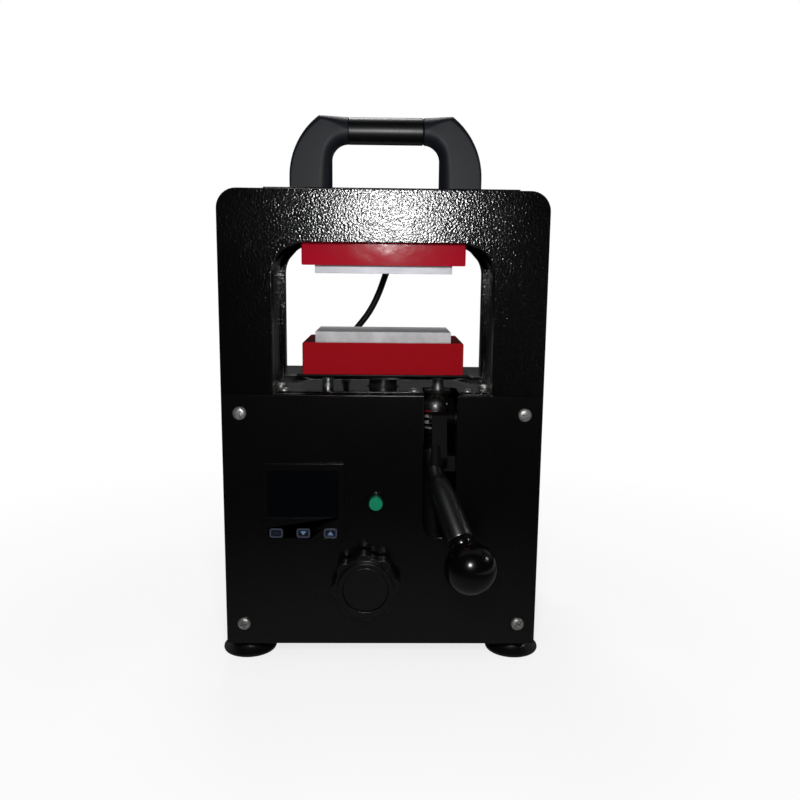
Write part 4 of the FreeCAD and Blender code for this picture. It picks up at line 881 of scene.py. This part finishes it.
class HEATPRESS_OT_lever(HeatPressOperator, bpy.types.Operator):
    """Models the rocker, the bent rod, the grip and the ball knob"""

    bl_idname = "heatpress.lever"
    bl_label = "Pump Lever"

    # Places along the rod from its bend, and radii, in millimetres
    seam = 62.6
    grip_start = 4.6
    grip_end = 62.5
    bore = 6.55
    collar = 9.8
    bead = 12.0
    bead_centre = (-1.9, 3.4)

    # The grip's radius at its lip and how it grows, how much thinner the lip is and over what run
    grip_radius = 10.2
    grip_taper = 0.0279
    lip_drop = 3.3
    lip_run = 5.5

    def build(self, scene):
        shapes = scene.heat_press_shapes
        self.make_ball(shapes.ball_radius * 1000)
        self.make_grip()
        self.make_rod(shapes)
        dress("rocker_arm", "Black Casting", 0.0007, 2, 30)

    def make_ball(self, radius):
        """A ball on a collar whose side is a bead."""
        seam = self.seam - (BALL_CENTRE - LEVER_BEND).length * 1000
        start = math.degrees(math.asin(self.collar / radius)) - 90
        x, z = self.bead_centre
        profile = [(self.bore, seam)] + arc((x, seam + z), self.bead, -16, 15, 10)
        profile += arc((0, 0), radius, start, 90, 40)
        ball = turned("lever_ball", profile, 96)
        turn_towards(ball, BALL_CENTRE, GRIP_WAY)
        finish_piece(shade(ball, 40), "Gloss Plastic", "ball_knob")

    def make_grip(self):
        """A sleeve that swells quickly from its lip and then slowly to the collar."""
        reach = self.grip_end - self.grip_start
        profile = [(self.bore, self.grip_start), (6.7, self.grip_start)]
        for share in (0.006, 0.03, 0.06, 0.1, 0.15, 0.2, 0.26, 0.33, 0.45, 0.6, 0.8, 0.985):
            along = reach * share
            lip = self.lip_drop * math.exp(-along / self.lip_run)
            radius = self.grip_radius + self.grip_taper * along - lip
            profile.append((radius, self.grip_start + along))
        profile += [(11.3, self.grip_end), (self.bore, self.grip_end)]
        grip = turned("lever_sleeve", profile, 72)
        turn_towards(grip, LEVER_BEND, GRIP_WAY)
        finish_piece(shade(grip, 50), "Lever Plastic", "lever_grip")

    def make_rod(self, shapes):
        """A bar down the neck, round the bend and into the ball."""
        points = [LEVER_BEND + NECK_UP * mm(21.5) - mm(3.2, 0, 0),
                  LEVER_BEND + NECK_UP * mm(7) - mm(1.2, 0, 0),
                  LEVER_BEND,
                  LEVER_BEND + GRIP_WAY * mm(7),
                  BALL_CENTRE - GRIP_WAY * mm(8)]
        only(curve_piece("lever_bar", points, shapes.rod_radius))
        bpy.ops.object.convert(target="MESH")
        finish_piece(shade(bpy.context.object, 50), "Dark Steel", "lever_rod")


class HEATPRESS_OT_pump(HeatPressOperator, bpy.types.Operator):
    """Models the plunger's domed head, its seal and the pump's body"""

    bl_idname = "heatpress.pump"
    bl_label = "Pump"

    def build(self, scene):
        dress("pump_plunger", "Dome Steel", 0.0003, 2, 30)
        low, high = box_mm("plunger_washer")
        inside, outside = 6.1, 9.6
        profile = [(inside, low.z), (outside, low.z)] + arc((9.25, low.z + 1.0), 1.0, -60, 60, 6)
        profile += [(outside, high.z), (inside, high.z), (inside, low.z)]
        seal = turned("plunger_seal", profile, 48)
        seal.location = mm((low.x + high.x) / 2, (low.y + high.y) / 2, 0)
        finish_piece(shade(settle(seal), 50), "Red Seal", "plunger_washer")
        dress("pump_body", "Dark Steel", 0.0006)


class HEATPRESS_OT_release_valve(HeatPressOperator, bpy.types.Operator):
    """Models the release valve's lobed knob and its cap"""

    bl_idname = "heatpress.release_valve"
    bl_label = "Release Valve"

    def build(self, scene):
        dress("release_knob", "Matte Plastic", 0.0016, 4, 30)
        dress("knob_cap", "Matte Plastic", 0.0008, 3, 30)


class HEATPRESS_OT_controller(HeatPressOperator, bpy.types.Operator):
    """Models the temperature controller's face and its touch keys"""

    bl_idname = "heatpress.controller"
    bl_label = "Controller"

    # Sizes of the keys and their print, in millimetres
    pitch = 24.0
    pad_size = (13.0, 9.0)
    frame_size = (11.7, 8.5)
    frame_line = 1.3
    frame_corner = 2.4
    arrow_size = (5.4, 3.6)
    print_height = 0.08

    def build(self, scene):
        dress("controller_case", "Controller Plastic", 0.0006, 3, 30)
        dress("controller_display", "Display Window", 0.0002, 2, 30)
        low, high = box_mm("controller_keys")
        face = low.y
        width, height = self.pad_size
        z = (low.z + high.z) / 2
        pads, lines, arrows, fields = [], [], [], []
        for index in range(3):
            x = low.x + width / 2 + self.pitch * index
            pads.append(block("pad", (x - width / 2, face + 0.2, z - height / 2),
                              (x + width / 2, face + 1.3, z + height / 2)))
            lines.append(self.rounded_print(x, z, face, self.frame_line))
            fields.append(self.rounded_print(x, z, face, 0))
            if index:
                arrows.append(self.arrow(x, z, face, -1 if index == 1 else 1))
            else:
                lines.append(self.dash(x, z, face))
        keys = round_edges(join("key_pads", pads), 0.0004, 3, 30)
        finish_piece(keys, "Controller Plastic", "controller_keys")
        for name, prints, material in (
                ("key_outlines", lines, "Key Line"),
                ("key_arrows", arrows, "Key Arrow"),
                ("key_fields", fields, "Key Field")):
            finish_piece(join(name, prints), material, "controller_keys", replaces=False)

    def rounded_print(self, x, z, face, line):
        """A rounded rectangle printed on a key: its outline, or its field where line is 0."""
        inset = 0 if line else self.frame_line * 2
        width, height = (side - inset for side in self.frame_size)
        deselect()
        bpy.ops.mesh.primitive_plane_add(size=1, location=mm(x, face + 0.14, z),
                                         rotation=(math.pi / 2, 0, 0))
        piece = named("print")
        piece.scale = (mm(width), mm(height), 1)
        settle(piece)
        edit(piece)
        bpy.ops.mesh.bevel(offset=mm(self.frame_corner - inset / 2), segments=5, affect="VERTICES")
        if line:
            bpy.ops.mesh.inset(thickness=mm(line))
            bpy.ops.mesh.delete(type="FACE")
        self.raise_print()
        return piece

    def raise_print(self):
        """Gives a flat print its thickness, towards the front."""
        bpy.ops.mesh.select_all(action="SELECT")
        bpy.ops.mesh.extrude_region_move(TRANSFORM_OT_translate={"value": mm(0, -self.print_height, 0)})
        leave_edit()

    def arrow(self, x, z, face, up):
        """A small solid triangle that points up or down."""
        width, height = self.arrow_size
        deselect()
        bpy.ops.mesh.primitive_circle_add(vertices=3, radius=1, fill_type="NGON",
                                          location=mm(x, face + 0.10, z),
                                          rotation=(math.pi / 2, 0, 0))
        piece = named("arrow")
        piece.scale = (mm(width) / math.sqrt(3), mm(height) / 1.5 * up, 1)
        settle(piece)
        edit(piece)
        bpy.ops.transform.translate(value=mm(0, 0, -height / 6 * up))
        self.raise_print()
        return piece

    def dash(self, x, z, face):
        """A faint bar in the first key."""
        return block("dash", (x - 2.2, face + 0.03, z - 0.15), (x + 2.2, face + 0.10, z + 0.15))


class HEATPRESS_OT_start_button(HeatPressOperator, bpy.types.Operator):
    """Models the green button and its ring"""

    bl_idname = "heatpress.start_button"
    bl_label = "Start Button"

    rim = 0.6

    def build(self, scene):
        low, high = box_mm("button_cap")
        centre = (low + high) / 2
        depth = high.y - low.y
        radius = (high.x - low.x) / 2
        profile = [(0, 0), (radius, 0)] + arc((radius - self.rim, depth - self.rim), self.rim, 0, 90, 6)
        cap = turned("start_cap", profile + [(0, depth)], 56)
        turn_towards(cap, mm(centre.x, high.y, centre.z), (0, -1, 0))
        finish_piece(shade(cap, 50), "Button Green", "button_cap")
        dress("button_bezel", "Gloss Plastic", 0.0008, 3, 30)


class HEATPRESS_OT_handle(HeatPressOperator, bpy.types.Operator):
    """Models the carrying handle's two legs and the round grip between them"""

    bl_idname = "heatpress.handle"
    bl_label = "Carrying Handle"

    # Sizes of the legs in millimetres: the leg and the bar that it turns into, its corners outside
    # and inside, and its depth and edges
    leg_width = 37.15
    bar_height = 23.4
    cheek = 26.0
    shoulder = 21.0
    shoulder_round = 66.0
    inner_corner = 14.0
    leg_depth = 26.0
    back_round = 11.5
    front_round = 2.0
    front_growth = 3.0
    bar_growth = 6.5
    end_round = 11.4

    def build(self, scene):
        for side, name, gap in ((-1, "left", 0.35), (1, "right", 0.9)):
            node = "handle_leg_" + name
            leg = loft("leg_" + name, self.leg_rings(node, side, gap))
            finish_piece(shade(leg, 32), "Leg Plastic", node)
        low, high = box_mm("handle_grip")
        reach = high.x - low.x
        radius = (high.z - low.z) / 2
        profile = [(0, 0), (radius - 0.5, 0), (radius, 0.4), (radius, reach - 0.9), (radius - 0.9, reach),
                   (0, reach)]
        grip = turned("handle_bar", profile, 96)
        turn_towards(grip, mm(low.x, 0, (low.z + high.z) / 2), (1, 0, 0))
        finish_piece(shade(grip, 50), "Grip Plastic", "handle_grip")

    def leg_rings(self, node, side, gap):
        """Rings from a leg's foot, round its bend, to its seam with the grip."""
        low, high = box_mm(node)
        outer, seam = (high.x, low.x) if side > 0 else (low.x, high.x)
        outline = self.outer_line(outer, seam, low.z, high.z, side)
        inner = self.inner_line(outer - self.leg_width * side, seam, low.z, high.z - self.bar_height, side)
        corner = path_length(outline[:-1]) / path_length(outline)
        shares = [corner * index / 24 for index in range(24)]
        shares += [corner + (1 - corner) * index / 12 for index in range(12)] + [1.0]
        rings = []
        for share in shares:
            past = max(0.0, (share - corner) / (1 - corner))
            eased = past * past * (3 - 2 * past)
            risen = min(1.0, share / corner) ** 2
            near_round = self.front_round + self.front_growth * risen + self.bar_growth * eased
            depth = self.leg_depth + (self.bar_height - self.leg_depth) * eased
            start, end = point_at(outline, share), point_at(inner, share)
            if share == 1.0:
                start = (start[0] + gap * side, start[1])
                end = (end[0] + gap * side, end[1])
            rings.append(section_ring(start, end, depth, near_round, self.back_round))
        start, end = point_at(outline, 1.0), point_at(inner, 1.0)
        start, end = (start[0], start[1] - gap), (end[0], end[1] + gap)
        rounding = self.end_round - gap
        rings.append(section_ring(start, end, self.bar_height - gap * 2, rounding, rounding))
        return rings

    def outer_line(self, outer, seam, foot, top, side):
        """The leg's outer edge: up, round the shoulder, over the cheek's corner to the seam."""
        turn = math.atan2(self.cheek, self.shoulder)
        setback = self.shoulder_round * math.tan(turn / 2)
        centre = top - self.shoulder - setback
        bend = arc((0, 0), self.shoulder_round, 0, math.degrees(turn), 24)
        line = [(outer, foot)]
        line += [(outer - (self.shoulder_round - x) * side, centre + z) for x, z in bend]
        return line + [(outer - self.cheek * side, top), (seam, top)]

    def inner_line(self, inner, seam, foot, under, side):
        """The leg's inner edge: up, round the hand hole's corner and along to the seam."""
        bend = arc((0, 0), self.inner_corner, 0, 90, 16)
        line = [(inner, foot)]
        line += [(inner - (self.inner_corner - x) * side, under - self.inner_corner + z) for x, z in bend]
        return line + [(seam, under)]


def path_length(points):
    return sum(math.dist(a, b) for a, b in zip(points, points[1:]))


def point_at(points, share):
    """The point at a share of the way along a line of straight runs."""
    left = path_length(points) * share
    for a, b in zip(points, points[1:]):
        run = math.dist(a, b)
        if left <= run + 1e-9:
            part = left / run
            return (a[0] + (b[0] - a[0]) * part, a[1] + (b[1] - a[1]) * part)
        left -= run
    return points[-1]


def section_ring(start, end, depth, near_round, far_round):
    """A rounded section across the Y axis, between two (x, z) points of a moulding's outline."""
    width = math.dist(start, end)
    across = ((end[0] - start[0]) / width, (end[1] - start[1]) / width)
    half = depth / 2
    near = min(near_round, half)
    far = min(far_round, half)
    corners = (
        ((near, near - half), near, 180),
        ((width - far, far - half), far, 270),
        ((width - far, half - far), far, 0),
        ((near, half - near), near, 90),
    )
    points = [point for centre, radius, angle in corners
              for point in arc(centre, radius, angle, angle + 90, 7)]
    return [(start[0] + across[0] * u, v, start[1] + across[1] * u) for u, v in points]


class HEATPRESS_OT_fasteners(HeatPressOperator, bpy.types.Operator):
    """Models the pan-head screws with their cross recesses"""

    bl_idname = "heatpress.fasteners"
    bl_label = "Fasteners"

    # Diameter and height of the heads, in millimetres
    cover_head = (11.7, 3.4)
    deck_head = (9.0, 2.8)

    def build(self, scene):
        for node, way in (("front_cover_screws", -1), ("rear_panel_screws", 1)):
            self.row(node, way)
        deck_top = box_mm("deck_plate")[1].z
        places = [mm(x, y, deck_top) for x, y in DECK_SCREWS]
        heads = copies("small_screw_heads", self.screw(*self.deck_head), places, (0, 0, 1))
        finish_piece(heads, "Zinc Plate", "small_screws")

    def screw(self, diameter, height):
        """One screw, its head's underside at zero and its face up."""
        radius = diameter / 2
        profile = [(0, -6.0), (radius * 0.36, -6.0), (radius * 0.36, 0), (radius * 0.96, 0), (radius, 0.25)]
        for angle in range(0, 90, 10):
            lift = math.sin(math.radians(angle))
            drawn_in = math.cos(math.radians(angle)) ** 0.75
            profile.append((radius * drawn_in, height * (0.22 + 0.78 * lift)))
        profile.append((0, height))
        head = turned("screw", profile, 40)
        arm, wing, floor = radius * 0.50, radius * 0.10, height * 0.35
        carve(head, block("bar", (-arm, -wing, floor), (arm, wing, height + 1)))
        carve(head, block("bar", (-wing, -arm, floor), (wing, arm, height + 1)))
        return shade(head, 30)

    def row(self, node, way):
        """Four screws at a sheet's corners, facing the front or the back."""
        low, high = box_mm(node)
        diameter, height = self.cover_head
        y = low.y + height if way < 0 else high.y - height
        places = [mm(x, y, z) for x, z in corner_places(low.xz, high.xz, diameter / 2)]
        heads = copies(node + "_heads", self.screw(diameter, height), places, (0, way, 0))
        finish_piece(heads, "Zinc Plate", node)


def corner_places(low, high, inset):
    """The four places that lie inside a rectangle's corners."""
    return [(first, second) for first in (low[0] + inset, high[0] - inset)
            for second in (low[1] + inset, high[1] - inset)]


class HEATPRESS_OT_feet(HeatPressOperator, bpy.types.Operator):
    """Models the flared rubber feet"""

    bl_idname = "heatpress.feet"
    bl_label = "Rubber Feet"

    def build(self, scene):
        low, high = box_mm("rubber_feet")
        flare = 24.5
        profile = [(7.0, 0.0), (22.2, 0.0), (24.0, 0.7), (flare, 1.8), (24.3, 3.0), (22.6, 3.9),
                   (19.0, 5.4), (16.4, 7.6), (14.9, 10.4), (14.2, 13.4), (14.0, 14.5), (3.1, 14.5),
                   (3.1, 7.0), (7.0, 7.0), (7.0, 0.0)]
        foot = shade(turned("foot", profile, 64), 40)
        places = [mm(x, y, 0) for x, y in corner_places(low.xy, high.xy, flare)]
        feet = copies("flared_feet", foot, places, (0, 0, 1))
        finish_piece(shade(feet, 40), "Foot Rubber", "rubber_feet")


class HEATPRESS_PT_panel(bpy.types.Panel):
    """Lists the press's operators and settings in the sidebar"""

    bl_label = "Heat Press"
    bl_idname = "HEATPRESS_PT_panel"
    bl_space_type = "VIEW_3D"
    bl_region_type = "UI"
    bl_category = "Heat Press"

    def draw(self, context):
        layout = self.layout
        for operator in STEPS:
            layout.operator(operator.bl_idname)
        for group in SETTINGS:
            settings = getattr(context.scene, group)
            box = layout.box()
            for name in settings.bl_rna.properties.keys():
                if name not in ("rna_type", "name"):
                    box.prop(settings, name)


STEPS = (
    HEATPRESS_OT_studio,
    HEATPRESS_OT_heater_lead,
    HEATPRESS_OT_frame,
    HEATPRESS_OT_heated_plates,
    HEATPRESS_OT_springs,
    HEATPRESS_OT_lever,
    HEATPRESS_OT_pump,
    HEATPRESS_OT_release_valve,
    HEATPRESS_OT_controller,
    HEATPRESS_OT_start_button,
    HEATPRESS_OT_handle,
    HEATPRESS_OT_fasteners,
    HEATPRESS_OT_feet,
)
SETTINGS = {
    "heat_press_shapes": HeatPressShapes,
    "heat_press_colours": HeatPressColours,
    "heat_press_studio": HeatPressStudio,
}
CLASSES = (*SETTINGS.values(), *STEPS, HEATPRESS_PT_panel)


def register():
    for item in CLASSES:
        bpy.utils.register_class(item)
    for name, group in SETTINGS.items():
        setattr(bpy.types.Scene, name, PointerProperty(type=group))


def unregister():
    for name in SETTINGS:
        delattr(bpy.types.Scene, name)
    for item in reversed(CLASSES):
        bpy.utils.unregister_class(item)


def main():
    register()
    make_materials(bpy.context.scene.heat_press_colours)
    finish_cad_nodes()
    for step in STEPS:
        section, call = step.bl_idname.split(".")
        getattr(getattr(bpy.ops, section), call)()


if __name__ == "__main__":
    main()
